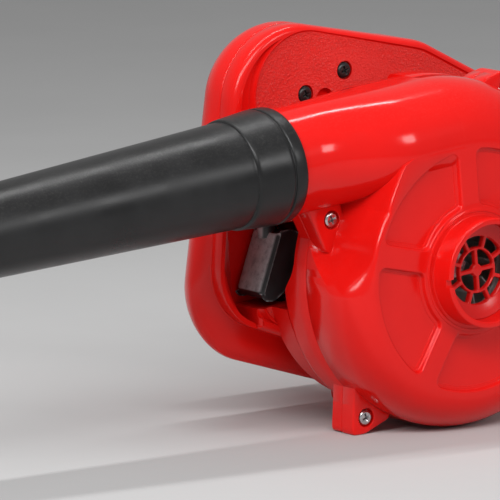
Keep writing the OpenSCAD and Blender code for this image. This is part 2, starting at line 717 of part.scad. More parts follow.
// Side outline of the trigger, in x and z
trigger_side = let (c = cos(trigger_tilt), s = sin(trigger_tilt), t = trigger_face_top, l = trigger_face_len) [
    t, [t[0] - l * s, t[1] - l * c], [t[0] - l * s + 3, t[1] - l * c - 4.5], [-77.5, -10.4], [-60, -0.5], [-54, 5],
    [-54, 16], [-61, 24]
];

module trigger() color(black) stand() difference() {
    union() {
        difference() {
            y_plate(trigger_side, trigger_y0, trigger_y1);
            for (s = [0, 1]) on_travel() mirror([0, s, 0]) translate([0, trigger_mid_y - trigger_y0, 0])
                rotate([-38, 0, 0]) block([-10, -1.9, -12], [60, 12, 0]);
        }
        translate([hub_at[0], hub_at[1], 12]) cylinder(r = hub_r, h = 15.8);
    }
    difference() {
        on_travel() block([2.4, trigger_y0 - trigger_mid_y + 2.2, trigger_t],
            [60, trigger_y1 - trigger_mid_y - 2.2, 60]);
        on_travel() block([29.6, -20, 0], [60, 20, 8]);
        translate([hub_at[0], hub_at[1], 12]) cylinder(r = hub_r, h = 16);
    }
    translate([hub_at[0], hub_at[1], 21]) cylinder(r = 2.7, h = 10);
}

module switch_plunger() color("#3a3a3c") stand() travel_rod(1.5, 0, 23);

module trigger_spring() color(steel) stand() on_travel()
    translate([plunger_at, 0, trigger_t]) coil(2.4, 0.35, 20, 7);

module switch_body() color("#2a2a2c") stand() difference() {
    on_travel() block([plunger_at - switch_half, -6, trigger_t + switch_s0],
        [plunger_at + switch_half, 7.5, trigger_t + switch_s1]);
    travel_rod(3.4, switch_s0 - eps, switch_s1 - 1.2);
}

module lock_button() color(black) stand() {
    y_rod(lock_flange_r, lock_y0, lock_y0 + 2, lock_at);
    y_rod(lock_r, lock_y0 + 1, handle_back_y + 3.4, lock_at);
}

module lock_spring() color(steel) stand()
    translate([lock_at[0], lock_y0, lock_at[1]]) rotate([90, 0, 0]) coil(3.2, 0.4, 5.2, 4);

// ---------- electrical pieces ----------

module capacitor() color("#c9a23a") stand() block([50, 104, 26], [58, 122, 52]);

module terminal_block() color("#e6e4da") stand() difference() {
    block([48, 104, -20], [60, 124, -8]);
    for (y = [112, 117, 121]) translate([54, y, -20.5]) cylinder(r = 1.6, h = 14);
}

// Straight length of lead between two points
module lead(p, q, r = 1.1) translate(p)
    rotate([0, acos((q[2] - p[2]) / norm(q - p)), atan2(q[1] - p[1], q[0] - p[0])])
        cylinder(r = r, h = norm(q - p), $fn = 16);

// Lead through a list of points, with a sleeve ball at every bend
module lead_run(points) {
    for (i = [0:len(points) - 2]) lead(points[i], points[i + 1]);
    for (i = [1:len(points) - 2]) translate(points[i]) sphere(r = 1.4, $fn = 16);
}

module internal_leads() color("#33507a") stand() {
    lead([54, 108, -7.98], [54, 108, 25.98]);
    lead_run([[-61.1, 99, -12.3], [-56, 104, -26], [-32, 113, -54], [10, 102, -60], [46, 102, -44], [54, 106, -30],
        [54, 106, -20.02]]);
}

module inlet_axis() translate(inlet_at) rotate([0, 90 + inlet_tilt, 0]) children();

module cord_inlet_bush() color(black) stand() inlet_axis() difference() {
    union() {
        translate([0, 0, -6]) cylinder(r = 7, h = inlet_flange_s + 7);
        translate([0, 0, inlet_flange_s]) cylinder(r = 8.4, h = 4);
    }
    translate([0, 0, -10]) cylinder(r = 3.7, h = 30);
}

module cord_clamp() color("#3a3a3c") stand() difference() {
    block([clamp_x - 4, clamp_y - 3, clamp_z - clamp_reach - 3.4],
        [clamp_x + 4, clamp_y, clamp_z + clamp_reach + 3.4]);
    for (s = [-1, 1]) y_rod(1.7, 100, 120, [clamp_x, clamp_z + s * clamp_reach]);
}

module cord_clamp_screws() color(steel) stand() for (s = [-1, 1])
    pan_screw([clamp_x, clamp_z + s * clamp_reach], clamp_y - 3, 14, 1.5, 2.8, 1.8);

fan_casing_front();
fan_casing_back();
intake_grille();
casing_screws();
nozzle();
impeller();
impeller_washer();
impeller_nut();
motor_shaft();
armature_core();
armature_windings();
commutator();
cooling_fan();
front_bearing();
rear_bearing();
bearing_sleeve();
field_core();
field_coils();
field_screws();
air_baffle();
bearing_bracket();
brush_holders();
carbon_brushes();
brush_springs();
brush_caps();
handle_front_shell();
handle_back_shell();
handle_screws();
motor_fixing_screws();
motor_end_cap();
end_cap_screws();
trigger();
trigger_spring();
switch_plunger();
switch_body();
lock_button();
lock_spring();
capacitor();
terminal_block();
internal_leads();
cord_inlet_bush();
cord_clamp();
cord_clamp_screws();
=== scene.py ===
"""Looks of the hand-held blower for drying cars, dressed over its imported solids.

Shapes are in millimetres on working axes: fan axis along Y with the intake facing -Y, outlet pipe along -X, origin at
the centre of the intake collar's mouth. stand() turns them by the nozzle's droop and gives metres.
"""

import json
import math

import bmesh
import bpy
import numpy as np
from mathutils import Matrix, Vector


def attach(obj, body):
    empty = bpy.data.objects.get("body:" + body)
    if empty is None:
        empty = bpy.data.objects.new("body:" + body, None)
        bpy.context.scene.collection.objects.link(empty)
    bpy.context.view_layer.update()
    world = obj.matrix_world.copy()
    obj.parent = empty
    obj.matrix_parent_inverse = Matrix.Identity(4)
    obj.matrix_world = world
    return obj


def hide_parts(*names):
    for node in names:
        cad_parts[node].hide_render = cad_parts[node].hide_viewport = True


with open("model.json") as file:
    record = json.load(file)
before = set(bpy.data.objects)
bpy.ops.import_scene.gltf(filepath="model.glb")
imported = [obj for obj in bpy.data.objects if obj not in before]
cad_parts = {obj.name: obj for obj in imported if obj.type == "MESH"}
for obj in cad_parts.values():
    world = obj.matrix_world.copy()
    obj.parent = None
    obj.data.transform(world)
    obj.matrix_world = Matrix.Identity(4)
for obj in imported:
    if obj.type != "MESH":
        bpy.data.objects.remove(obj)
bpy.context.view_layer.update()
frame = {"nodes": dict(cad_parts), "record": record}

MM = 0.001
DROOP = math.radians(6)
COLLAR_MID_Y = 6.85

# ---------- sizes shared by several pieces, in millimetres ----------

SEAM_Y = 53.7
FACE_Y = 13.6
FACE_IN_Y = 18.9
CASING_BACK_Y = 76.0
WALL = 2.6
COLLAR_R = 29.0
COLLAR_BORE_R = 25.6
BOSS_R = 32.5
DISC_R = 66.5
SECTOR_R = 64.2
SPOKE_HALF = 6.0
SPOKES = 5
QUARTERS = [(-1.5, -1.5, 80.5), (3.5, -1.5, 85.5), (3.5, 3.5, 90.5), (-1.5, 3.5, 95.5)]
SPIRAL_START = math.radians(91.1)
PIPE_Z = 70.3
PIPE_R = 28.3
PIPE_END_X = -124.0
NOZZLE_REAR_X = -96.7
NOZZLE_TIP_X = NOZZLE_REAR_X - 260
TIP_R = 21.4
PANEL_Y = 88.0
BARREL_R = 42.0
BARREL_IN_R = 39.4
BARREL_END_Y = 172.0
FLOOR = 86.626
# Circles (x, z, radius) that a string is drawn round for the handle's front and back outlines and its front panel
FRONT_CIRCLES = np.array([(-52, 90, 42), (18, 69.5, 42), (58, 58.5, 30), (25, -46, 30), (-74, 7, 34.5)], float)
BACK_CIRCLES = np.array([(-52, 90, 42), (18, 69.5, 42), (58, 58.5, 30), (25, -57.5, 32), (-75, -5, 42)], float)
PANEL_CIRCLES = np.array([(-45, 94, 34), (18, 69.5, 38), (58, 58.5, 26), (25, -46, 26), (-64, -6, 21)], float)
CASING_SCREWS = [(-69, 36.7), (-56.7, -72.2)]
RIM_EARS = (56, 5, 318)
RIM_EAR_OUT = 3.5
EAR_FRONT_Y = 43.7
EAR_BACK_Y = 61.7
EAR_RECESS = 2.4
RECESS_R = 5.0
SEAM_HALF = 0.08
SCREW_HOLE_R = 2.05
HANDLE_SCREWS = [(-45.3, 94), (-18.5, 102), (56, 66), (68, 22), (40, -58), (-22, -44)]
SPARE_RECESS = (-33, 89.5)


# ---------- mesh helpers ----------


def stand(points):
    """Working millimetres to the row frame in metres: turned by the droop, with the collar's middle as the origin."""
    x, y, z = np.moveaxis(np.asarray(points, float), -1, 0)
    c, s = math.cos(DROOP), math.sin(DROOP)
    return np.stack([x * c - z * s, y - COLLAR_MID_Y, x * s + z * c], -1) * MM


def smooth(t):
    """0 below 0, 1 above 1 and 3t^2 - 2t^3 between."""
    t = np.clip(t, 0, 1)
    return t * t * (3 - 2 * t)


def quads(n, m, around, along):
    """Corner numbers of the quads of an n by m grid of points; around and along join its far rows to its first."""
    i, j = np.meshgrid(np.arange(n if around else n - 1), np.arange(m if along else m - 1), indexing="ij")
    i2, j2 = (i + 1) % n, (j + 1) % m
    return np.stack([i * m + j, i2 * m + j, i2 * m + j2, i * m + j2], -1).reshape(-1, 4)


def to_object(name, points, faces, sharp=38.0, merge=0.002):
    """Object from working points and a list of face arrays, with doubles merged and faces turned outwards."""
    mesh = bpy.data.meshes.new(name)
    groups = faces if isinstance(faces, list) else [faces]
    faces = [face for group in groups for face in np.asarray(group).tolist()]
    mesh.from_pydata(stand(points.reshape(-1, 3)).tolist(), [], faces)
    obj = bpy.data.objects.new(name, mesh)
    bpy.context.scene.collection.objects.link(obj)
    clean(obj, sharp, merge)
    return obj


def clean(obj, sharp=38.0, merge=0.002):
    """Merges doubles, drops faces of no area and bare edges, turns faces outwards and shades smooth below sharp."""
    work = bmesh.new()
    work.from_mesh(obj.data)
    bmesh.ops.remove_doubles(work, verts=work.verts, dist=merge * MM)
    bmesh.ops.dissolve_degenerate(work, edges=work.edges, dist=merge * MM)
    bmesh.ops.delete(work, geom=[e for e in work.edges if not e.link_faces], context="EDGES")
    bmesh.ops.recalc_face_normals(work, faces=work.faces)
    if work.calc_volume(signed=True) < 0:
        bmesh.ops.reverse_faces(work, faces=work.faces)
    work.to_mesh(obj.data)
    work.free()
    obj.data.polygons.foreach_set("use_smooth", np.ones(len(obj.data.polygons), bool))
    obj.data.set_sharp_from_angle(angle=math.radians(sharp))
    obj.data.update()


def lathe(name, profile, axis="y", at=(0.0, 0.0), n=128, sharp=38.0):
    """Closed ring or solid: profile rows (radius, distance along the axis) turned about Y or X through at."""
    profile = np.asarray(profile, float)
    a = np.linspace(0, 2 * math.pi, n, endpoint=False)[:, None]
    r, h = profile[None, :, 0], profile[None, :, 1]
    u, v, h = r * np.cos(a), r * np.sin(a), h + 0 * a
    grid = np.stack([at[0] + u, h, at[1] + v] if axis == "y" else [h, at[0] + u, at[1] + v], -1)
    return to_object(name, grid, quads(n, len(profile), True, True), sharp)


def rounded(corners, radius, steps=6):
    """Closed outline whose corners are swapped for curves: each starts and ends radius from the corner, at most 0.45 of
    a side, and is the parabola p(t) = (1-t)^2 a + 2t(1-t) corner + t^2 b."""
    p = np.asarray(corners, float)
    radius = np.broadcast_to(np.asarray(radius, float), (len(p),))
    before, after = np.roll(p, 1, 0) - p, np.roll(p, -1, 0) - p
    lb, la = np.linalg.norm(before, axis=1), np.linalg.norm(after, axis=1)
    rb, ra = np.minimum(radius, 0.45 * lb), np.minimum(radius, 0.45 * la)
    a = p + before / np.maximum(lb, 1e-9)[:, None] * rb[:, None]
    b = p + after / np.maximum(la, 1e-9)[:, None] * ra[:, None]
    t = np.linspace(0, 1, steps)[None, :, None]
    curve = (1 - t) ** 2 * a[:, None] + 2 * t * (1 - t) * p[:, None] + t * t * b[:, None]
    flat = curve.reshape(-1, 2)
    keep = np.ones(len(flat), bool)
    keep[1:] = np.linalg.norm(np.diff(flat, axis=0), axis=1) > 1e-6
    return flat[keep]


def resampled(outline, n):
    """Closed outline with n points, evenly spaced along it."""
    loop = np.vstack([outline, outline[:1]])
    run = np.concatenate([[0], np.cumsum(np.linalg.norm(np.diff(loop, axis=0), axis=1))])
    at = np.linspace(0, run[-1], n, endpoint=False)
    return np.stack([np.interp(at, run, loop[:, k]) for k in range(2)], -1)


def outward(outline):
    """Unit normals of a closed outline that runs anticlockwise, pointing out of it."""
    d = np.roll(outline, -1, 0) - np.roll(outline, 1, 0)
    d /= np.maximum(np.linalg.norm(d, axis=1, keepdims=True), 1e-9)
    return np.stack([d[:, 1], -d[:, 0]], -1)


def wrapped(circles, inset, n=360):
    """Outline of a string round the circles (x, z, radius), drawn in by inset: the furthest circle's point in each
    direction, then evenly spaced."""
    a = np.linspace(0, 2 * math.pi, 4 * n, endpoint=False)
    d = np.stack([np.cos(a), np.sin(a)], -1)
    reach = d @ circles[:, :2].T + circles[None, :, 2]
    best = reach.argmax(1)
    return resampled(circles[best, :2] + (circles[best, 2] - inset)[:, None] * d, n)


def stack_rings(name, rings, sharp=38.0):
    """Closed solid through a pile of rings of equal count (x, y, z), with a flat face over each end."""
    rings = np.asarray(rings, float)
    k, n = rings.shape[:2]
    first, last = np.arange(n)[None, :], (np.arange(n) + (k - 1) * n)[None, :]
    return to_object(name, rings, [quads(k, n, False, True), first, last], sharp)


def ring(outline, y):
    """Front-view outline (x, z) as points at depth y, one number or one for each point."""
    return np.stack([outline[:, 0], np.broadcast_to(np.asarray(y, float), (len(outline),)), outline[:, 1]], -1)


def pile(steps, outline_at):
    """Closed solid through rings given as (grow, depth), where outline_at gives the outline for a grow."""
    return stack_rings("pile", [ring(outline_at(grow), y) for grow, y in steps])


def thick(name, outer, inner):
    """Closed wall between an outer and an inner grid of points of one shape, each closed round its first index."""
    n, m = outer.shape[:2]
    count = n * m
    sheet = quads(n, m, True, False)
    faces = [sheet, sheet[:, ::-1] + count]
    i = np.arange(n)
    for j in (0, m - 1):
        a, b = i * m + j, (i + 1) % n * m + j
        faces.append(np.stack([a, b, b + count, a + count], -1))
    return to_object(name, np.concatenate([outer.reshape(-1, 3), inner.reshape(-1, 3)]), faces)


def polar_of(outline, centre, angles):
    """Distance from centre to a closed outline in each direction, for an outline that every ray meets once."""
    q = outline - np.asarray(centre, float)
    a, r = np.arctan2(q[:, 1], q[:, 0]), np.linalg.norm(q, axis=1)
    order = np.argsort(a)
    return np.interp(angles, a[order], r[order], period=2 * math.pi)


def boss(name, centre, outline, y_face, y_back, recess_r, depth, edge=1.2, n=200):
    """Screw boss of a front-view outline. Its rows run from the recess's floor over the lip and the face, round the
    edge and back along the side."""
    a = np.linspace(-math.pi, math.pi, n, endpoint=False)
    reach = polar_of(resampled(outline, 1200), centre, a)
    t = np.linspace(0, math.pi / 2, 6)
    rows = [(0 * a, y_face + depth)]
    if recess_r:
        rows += [(recess_r - 0.4 + 0 * a, y_face + depth), (recess_r + 0 * a, y_face + depth - 0.4)]
        rows += [(recess_r + 0.35 - 0.35 * math.cos(k) + 0 * a, y_face + 0.35 - 0.35 * math.sin(k)) for k in t]
    rows += [(np.maximum(reach - edge + edge * math.sin(k), recess_r + 0.5), y_face + edge - edge * math.cos(k))
             for k in t]
    rows += [(reach, y_back - 0.3), (reach - 0.3, y_back), (0 * a, y_back)]
    grid = np.stack([np.stack([centre[0] + r * np.cos(a), 0 * a + y, centre[1] + r * np.sin(a)], -1)
                     for r, y in rows], 1)
    return to_object(name, grid, quads(n, len(rows), True, False), 45)


def joined(name, objects):
    """One object from several, which stay separate solids in it."""
    work = bmesh.new()
    for obj in objects:
        work.from_mesh(obj.data)
    mesh = bpy.data.meshes.new(name)
    work.to_mesh(mesh)
    work.free()
    for obj in objects:
        bpy.data.objects.remove(obj)
    obj = bpy.data.objects.new(name, mesh)
    bpy.context.scene.collection.objects.link(obj)
    mesh.set_sharp_from_angle(angle=math.radians(38))
    return obj


def cut(obj, *cutters, sharp=38.0):
    """Takes the cutters' volumes out of obj, and removes the cutters."""
    for cutter in cutters:
        mod = obj.modifiers.new("cut", "BOOLEAN")
        mod.operation, mod.solver, mod.object = "DIFFERENCE", "MANIFOLD", cutter
    graph = bpy.context.evaluated_depsgraph_get()
    mesh = bpy.data.meshes.new_from_object(obj.evaluated_get(graph))
    obj.modifiers.clear()
    old, obj.data = obj.data, mesh
    mesh.name = obj.name
    bpy.data.meshes.remove(old)
    for cutter in cutters:
        bpy.data.objects.remove(cutter)
    clean(obj, sharp, 0.0005)
    return obj


def rod(r, y0, y1, at=(0.0, 0.0), n=64):
    """Plain cylinder along Y, for cutting."""
    return lathe("cutter", [(0, y0), (r, y0), (r, y1), (0, y1)], "y", at, n)


def plate(outline, y0, y1):
    """Plain prism of a front-view outline, for cutting."""
    return pile([(0, y0), (0, y1)], lambda grow: np.asarray(outline, float))


def dress(obj, body, slot, *nodes):
    """Gives a finished piece its slot's material, and its body, and hides the imported solids that it stands for."""
    obj.data.materials.clear()
    obj.data.materials.append(MATERIALS[slot])
    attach(obj, body)
    if nodes:
        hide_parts(*nodes)
    return obj


# ---------- materials ----------


def add(tree, kind, inputs=None, **settings):
    """Node of a kind with its settings, and its sockets linked or given a value."""
    node = tree.nodes.new(kind)
    for key, value in settings.items():
        setattr(node, key, value)
    for key, value in (inputs or {}).items():
        if isinstance(value, bpy.types.NodeSocket):
            tree.links.new(value, node.inputs[key])
        else:
            node.inputs[key].default_value = value
    return node


def noise(tree, vector, scale, detail=3.0, rough=0.55):
    """Noise texture's value at a vector."""
    inputs = {"Vector": vector, "Scale": scale, "Detail": detail, "Roughness": rough}
    return add(tree, "ShaderNodeTexNoise", inputs).outputs["Fac"]


def ramp(tree, value, low, high, to_low=0.0, to_high=1.0):
    """Value mapped smoothly from low..high to to_low..to_high."""
    inputs = {"Value": value, "From Min": low, "From Max": high, "To Min": to_low, "To Max": to_high}
    return add(tree, "ShaderNodeMapRange", inputs, interpolation_type="SMOOTHSTEP").outputs["Result"]


def times(tree, a, b):
    """Product of two values."""
    return add(tree, "ShaderNodeMath", {0: a, 1: b}, operation="MULTIPLY").outputs[0]


def plus(tree, a, b):
    """Sum of two values."""
    return add(tree, "ShaderNodeMath", {0: a, 1: b}, operation="ADD").outputs[0]


def cells(tree, vector, scale):
    """Distance to the nearest of scattered points, smoothed, as in a pebbled surface."""
    inputs = {"Vector": vector, "Scale": scale}
    return add(tree, "ShaderNodeTexVoronoi", inputs, feature="SMOOTH_F1").outputs["Distance"]


def here(tree):
    """The surface's object coordinates."""
    return add(tree, "ShaderNodeTexCoord").outputs["Object"]


def normal_of(tree):
    """The surface's normal."""
    return add(tree, "ShaderNodeNewGeometry").outputs["Normal"]


def one_of(tree, vector, axis):
    """A vector's X, Y or Z."""
    return add(tree, "ShaderNodeSeparateXYZ", {0: vector}).outputs[axis]


def facing(tree, normal, way):
    """Cosine between the normal and a way."""
    return add(tree, "ShaderNodeVectorMath", {0: normal, 1: way}, operation="DOT_PRODUCT").outputs["Value"]


def surface_group():
    """Marks shared by all materials: Edge is a broken mask on worn edges, Dust one on upward faces, Mottle a slow
    unevenness, Grain the moulded texture's height and Scuff a few fine scratches."""
    group = bpy.data.node_groups.new("Surface marks", "ShaderNodeTree")
    for label, value in (("Edge Width", 0.0005), ("Grain Scale", 2200.0), ("Mottle Scale", 30.0),
                         ("Scuff Scale", 55.0)):
        socket = group.interface.new_socket(label, in_out="INPUT", socket_type="NodeSocketFloat")
        socket.default_value = value
    for label in ("Edge", "Dust", "Mottle", "Grain", "Scuff"):
        group.interface.new_socket(label, in_out="OUTPUT", socket_type="NodeSocketFloat")
    start, end = group.nodes.new("NodeGroupInput"), group.nodes.new("NodeGroupOutput")
    place, normal = here(group), normal_of(group)
    soft = add(group, "ShaderNodeBevel", {"Radius": start.outputs["Edge Width"]}, samples=4).outputs["Normal"]
    edge = ramp(group, facing(group, soft, normal), 0.985, 0.80)
    broken = ramp(group, noise(group, place, 420.0, 4.0, 0.65), 0.42, 0.62)
    group.links.new(times(group, edge, broken), end.inputs["Edge"])
    up = one_of(group, normal, "Z")
    specks = ramp(group, noise(group, place, 900.0, 5.0, 0.7), 0.45, 0.72)
    group.links.new(times(group, ramp(group, up, 0.15, 0.95), specks), end.inputs["Dust"])
    mottle = noise(group, place, start.outputs["Mottle Scale"], 4.0, 0.6)
    group.links.new(mottle, end.inputs["Mottle"])
    grain = start.outputs["Grain Scale"]
    fine = noise(group, place, times(group, grain, 1.7), 2.0)
    group.links.new(plus(group, cells(group, place, grain), fine), end.inputs["Grain"])
    stretch = {0: place, 1: (1.0, 3.5, 18.0)}
    bent = add(group, "ShaderNodeVectorMath", stretch, operation="MULTIPLY").outputs["Vector"]
    scratch = noise(group, bent, start.outputs["Scuff Scale"], 6.0, 0.7)
    group.links.new(ramp(group, scratch, 0.66, 0.74), end.inputs["Scuff"])
    return group


MARKS = surface_group()


def finish(name, colour, rough, metal=0.0, tint=None, worn=None, edge=0.35, dust=0.05, grain=0.0,
           grain_scale=2200.0, wear_width=0.0005, vary=0.06, scuff=0.06, spec=0.5, pattern=None, mottle_scale=30.0):
    """Material from the shared marks: mottled colour towards tint, worn edges, dust, moulded grain and scuffs. pattern
    may add a colour and a height of its own. Widths and heights are in metres."""
    material = bpy.data.materials.new(name)
    material.use_nodes = True
    tree = material.node_tree
    shader = tree.nodes["Principled BSDF"]
    sizes = {"Edge Width": wear_width, "Grain Scale": grain_scale, "Mottle Scale": mottle_scale}
    marks = add(tree, "ShaderNodeGroup", sizes, node_tree=MARKS)

    def mix(factor, *colours):
        a, b = [c if isinstance(c, bpy.types.NodeSocket) else (*c, 1.0) for c in colours]
        return add(tree, "ShaderNodeMix", {"Factor": factor, 6: a, 7: b}, data_type="RGBA").outputs[2]

    tint = tint or tuple(0.72 * c for c in colour)
    worn = worn or tuple(min(1.0, 0.75 * c + 0.12) for c in colour)
    look = mix(ramp(tree, marks.outputs["Mottle"], 0.3, 0.7, 0.0, 2 * vary), colour, tint)
    height = None
    if pattern:
        look, height = pattern(tree, look, mix)
    look = mix(times(tree, marks.outputs["Edge"], edge), look, worn)
    look = mix(times(tree, marks.outputs["Dust"], dust), look, (0.62, 0.58, 0.54))
    tree.links.new(look, shader.inputs["Base Color"])
    shine = ramp(tree, marks.outputs["Mottle"], 0.3, 0.7, rough * 0.85, rough * 1.2)
    shine = plus(tree, shine, times(tree, marks.outputs["Scuff"], scuff))
    shine = plus(tree, shine, times(tree, marks.outputs["Dust"], dust * 2))
    tree.links.new(shine, shader.inputs["Roughness"])
    shader.inputs["Metallic"].default_value = metal
    shader.inputs["Specular IOR Level"].default_value = spec
    bump = add(tree, "ShaderNodeBump", {"Strength": 1.0, "Distance": 1.0})
    total = times(tree, marks.outputs["Grain"], grain)
    total = plus(tree, total, times(tree, marks.outputs["Mottle"], 0.00003))
    if height is not None:
        total = plus(tree, total, height)
    tree.links.new(total, bump.inputs["Height"])
    tree.links.new(bump.outputs["Normal"], shader.inputs["Normal"])
    return material


def bands(axis, pitch, depth, shade):
    """Pattern of fine bands across an axis, as in stacked sheets or wound wire: a darker colour between, and height."""
    def apply(tree, look, mix):
        along = one_of(tree, here(tree), axis)
        angle = times(tree, along, 2 * math.pi / pitch)
        wave = add(tree, "ShaderNodeMath", {0: angle}, operation="SINE").outputs[0]
        between = ramp(tree, wave, -0.2, -0.9)
        return mix(times(tree, between, shade), look, (0.02, 0.015, 0.01)), times(tree, wave, depth)
    return apply


def leather(tree, look, mix):
    """Fine leather grain on the handle's front panel alone, found by its depth and by facing the front."""
    place = here(tree)
    depth = one_of(tree, place, "Y")
    level = (PANEL_Y - COLLAR_MID_Y) * MM
    near = times(tree, ramp(tree, depth, level + 0.0018, level + 0.0014),
                 ramp(tree, depth, level + 0.0006, level + 0.001))
    mask = times(tree, near, ramp(tree, one_of(tree, normal_of(tree), "Y"), -0.9, -0.99))
    mask = times(tree, mask, ramp(tree, noise(tree, place, 1300.0, 4.0, 0.7), 0.3, 0.62, 0.25, 1.0))
    height = times(tree, times(tree, cells(tree, place, 900.0), mask), 0.0005)
    return mix(times(tree, mask, 0.55), look, (0.84, 0.06, 0.05)), height


def rubbed_and_lit_face(tree, look, mix):
    """Trigger whose finger face, found by the way it faces, is rubbed to a grainy grey; the grey is made lighter than
    the wear alone, as painted light on that face.
    """
    face = math.radians(19.5)
    toward = facing(tree, normal_of(tree), (-math.cos(face), 0.0, math.sin(face)))
    place = here(tree)
    blotches = ramp(tree, noise(tree, place, 260.0, 6.0, 0.75), 0.25, 0.6, 0.45, 1.0)
    rubbed_and_lit = times(tree, ramp(tree, toward, 0.72, 0.9), blotches)
    pits = noise(tree, place, 1500.0, 3.0, 0.7)
    # Grey (0.44, 0.42, 0.43): partly real rubbing wear, partly painted light that lightens the face
    return mix(rubbed_and_lit, look, (0.44, 0.42, 0.43)), times(tree, times(tree, pits, rubbed_and_lit), 0.00018)


RED = (0.72, 0.007, 0.005)
GLOSS = {"tint": (0.62, 0.004, 0.003), "worn": (0.80, 0.08, 0.06), "edge": 0.22, "dust": 0.02, "grain_scale": 900.0,
         "vary": 0.18, "spec": 0.3}
MATERIALS = {
    "casing_red": finish("Glossy red casing", RED, 0.13, grain=2e-6, scuff=0.08, **GLOSS),
    "shell_red": finish("Glossy red handle", RED, 0.2, grain=3e-6, scuff=0.10, pattern=leather, **GLOSS),
    "grille_red": finish("Red grille", (0.62, 0.006, 0.005), 0.2, edge=0.2, grain=3e-6, vary=0.2, spec=0.36),
    "nozzle_black": finish("Satin black nozzle", (0.007, 0.007, 0.0074), 0.32, tint=(0.014, 0.014, 0.0147),
                           worn=(0.09, 0.09, 0.09), edge=0.5, dust=0.04, grain=2e-5, grain_scale=1500.0, vary=0.4,
                           scuff=0.10, spec=0.36),
    # The trigger's finger face gets a light grey that is partly wear and partly painted light
    "trigger_black": finish("Worn black trigger with painted lit face", (0.016, 0.016, 0.017), 0.42, tint=(0.03, 0.03, 0.032),
                            worn=(0.30, 0.29, 0.29), edge=0.85, dust=0.05, grain=2e-5, grain_scale=1300.0, vary=0.45,
                            wear_width=0.0009, mottle_scale=90.0, pattern=rubbed_and_lit_face),
    "part_black": finish("Black moulded parts", (0.022, 0.022, 0.024), 0.45, edge=0.4, dust=0.08, grain=1e-5),
    "switch_grey": finish("Grey switch", (0.075, 0.075, 0.08), 0.5, edge=0.3, dust=0.06, grain=1e-5),
    "impeller_white": finish("White impeller", (0.66, 0.66, 0.63), 0.4, tint=(0.5, 0.48, 0.44), edge=0.2, dust=0.3,
                             grain=5e-6, vary=0.3),
    "terminal_white": finish("White terminal block", (0.72, 0.70, 0.62), 0.45, edge=0.2, dust=0.1, grain=5e-6),
    "rubber_black": finish("Black rubber", (0.02, 0.02, 0.02), 0.65, edge=0.3, dust=0.12, grain=2e-5, spec=0.35),
    "screw_steel": finish("Zinc-plated steel", (0.62, 0.63, 0.65), 0.24, metal=1.0, tint=(0.42, 0.42, 0.40),
                          worn=(0.8, 0.8, 0.8), edge=0.4, dust=0.10, grain=4e-6, vary=0.35, mottle_scale=300.0),
    "screw_black": finish("Black oxide steel", (0.018, 0.018, 0.019), 0.3, metal=0.3, worn=(0.2, 0.2, 0.2),
                          edge=0.6, dust=0.10, grain=4e-6, vary=0.3, mottle_scale=300.0),
    "shaft_steel": finish("Ground steel", (0.55, 0.56, 0.58), 0.2, metal=1.0, grain=3e-6, vary=0.2,
                          pattern=bands("Y", 12e-5, 3e-6, 0.1)),
    "lamination_steel": finish("Stacked electrical steel", (0.30, 0.31, 0.33), 0.45, metal=0.9, tint=(0.2, 0.16, 0.13),
                               vary=0.3, pattern=bands("Y", 0.0007, 5e-5, 0.5)),
    "copper": finish("Enamelled copper wire", (0.60, 0.25, 0.10), 0.3, metal=0.85, tint=(0.42, 0.14, 0.05), vary=0.35,
                     pattern=bands("Y", 0.0009, 12e-5, 0.6)),
    "brass": finish("Stamped brass", (0.70, 0.52, 0.22), 0.3, metal=1.0, tint=(0.5, 0.36, 0.16), vary=0.3),
    "carbon": finish("Pressed graphite", (0.045, 0.045, 0.048), 0.5, grain=1e-5, vary=0.3),
    "capacitor_yellow": finish("Dipped film capacitor", (0.70, 0.45, 0.06), 0.3, vary=0.2, grain=1e-5),
    "lead_blue": finish("Blue lead insulation", (0.04, 0.10, 0.32), 0.35, vary=0.2, dust=0.1),
}

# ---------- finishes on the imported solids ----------

for part in frame["record"]["subparts"]:
    node = frame["nodes"][part["node"]]
    node.data.materials.clear()
    node.data.materials.append(MATERIALS[part["material_slot"]])


# ---------- scroll casing ----------

SPIRAL_END = math.radians(450.87)
QUARTER_ENDS = np.radians([181.05, 272.3, 362.13])
THETA = np.linspace(SPIRAL_START, SPIRAL_END, 901)
DEGREES = np.degrees(THETA)


def scroll_radius(theta):
    """Distance from the fan's axis to the casing's side in a direction: r = e.c + sqrt(R^2 - |c|^2 + (e.c)^2), where e
    is the direction and c and R are the centre and radius of the arc of that quarter."""
    arc = np.array(QUARTERS)[np.searchsorted(QUARTER_ENDS, theta)]
    along = np.cos(theta) * arc[:, 0] + np.sin(theta) * arc[:, 1]
    return along + np.sqrt(arc[:, 2] ** 2 - arc[:, 0] ** 2 - arc[:, 1] ** 2 + along**2)


SIDE_R = scroll_radius(THETA)
FACE_R = np.interp(DEGREES, [91, 100, 110, 118, 123, 131, 143, 165, 185],
                   [66.5, 67.5, 70.8, 75.3, 76, 72, 67, 67.3, DISC_R])
SHOULDER = np.interp(DEGREES, [180, 300, 451], [21.5, 26, 33])
CREASE = np.radians(np.interp(DEGREES, [120, 150, 190], [36, 34, 0]))


def turned(name, rows, sharp=38.0):
    """Closed ring about the fan's axis from rows (radius, depth), each one number or one for each direction."""
    grid = np.stack([np.stack([r * np.cos(THETA), y + 0 * THETA, r * np.sin(THETA)], -1)
                     for r, y in ((r + 0 * THETA, y) for r, y in rows)], 1)
    return to_object(name, grid, quads(len(THETA), len(rows), True, True), sharp)


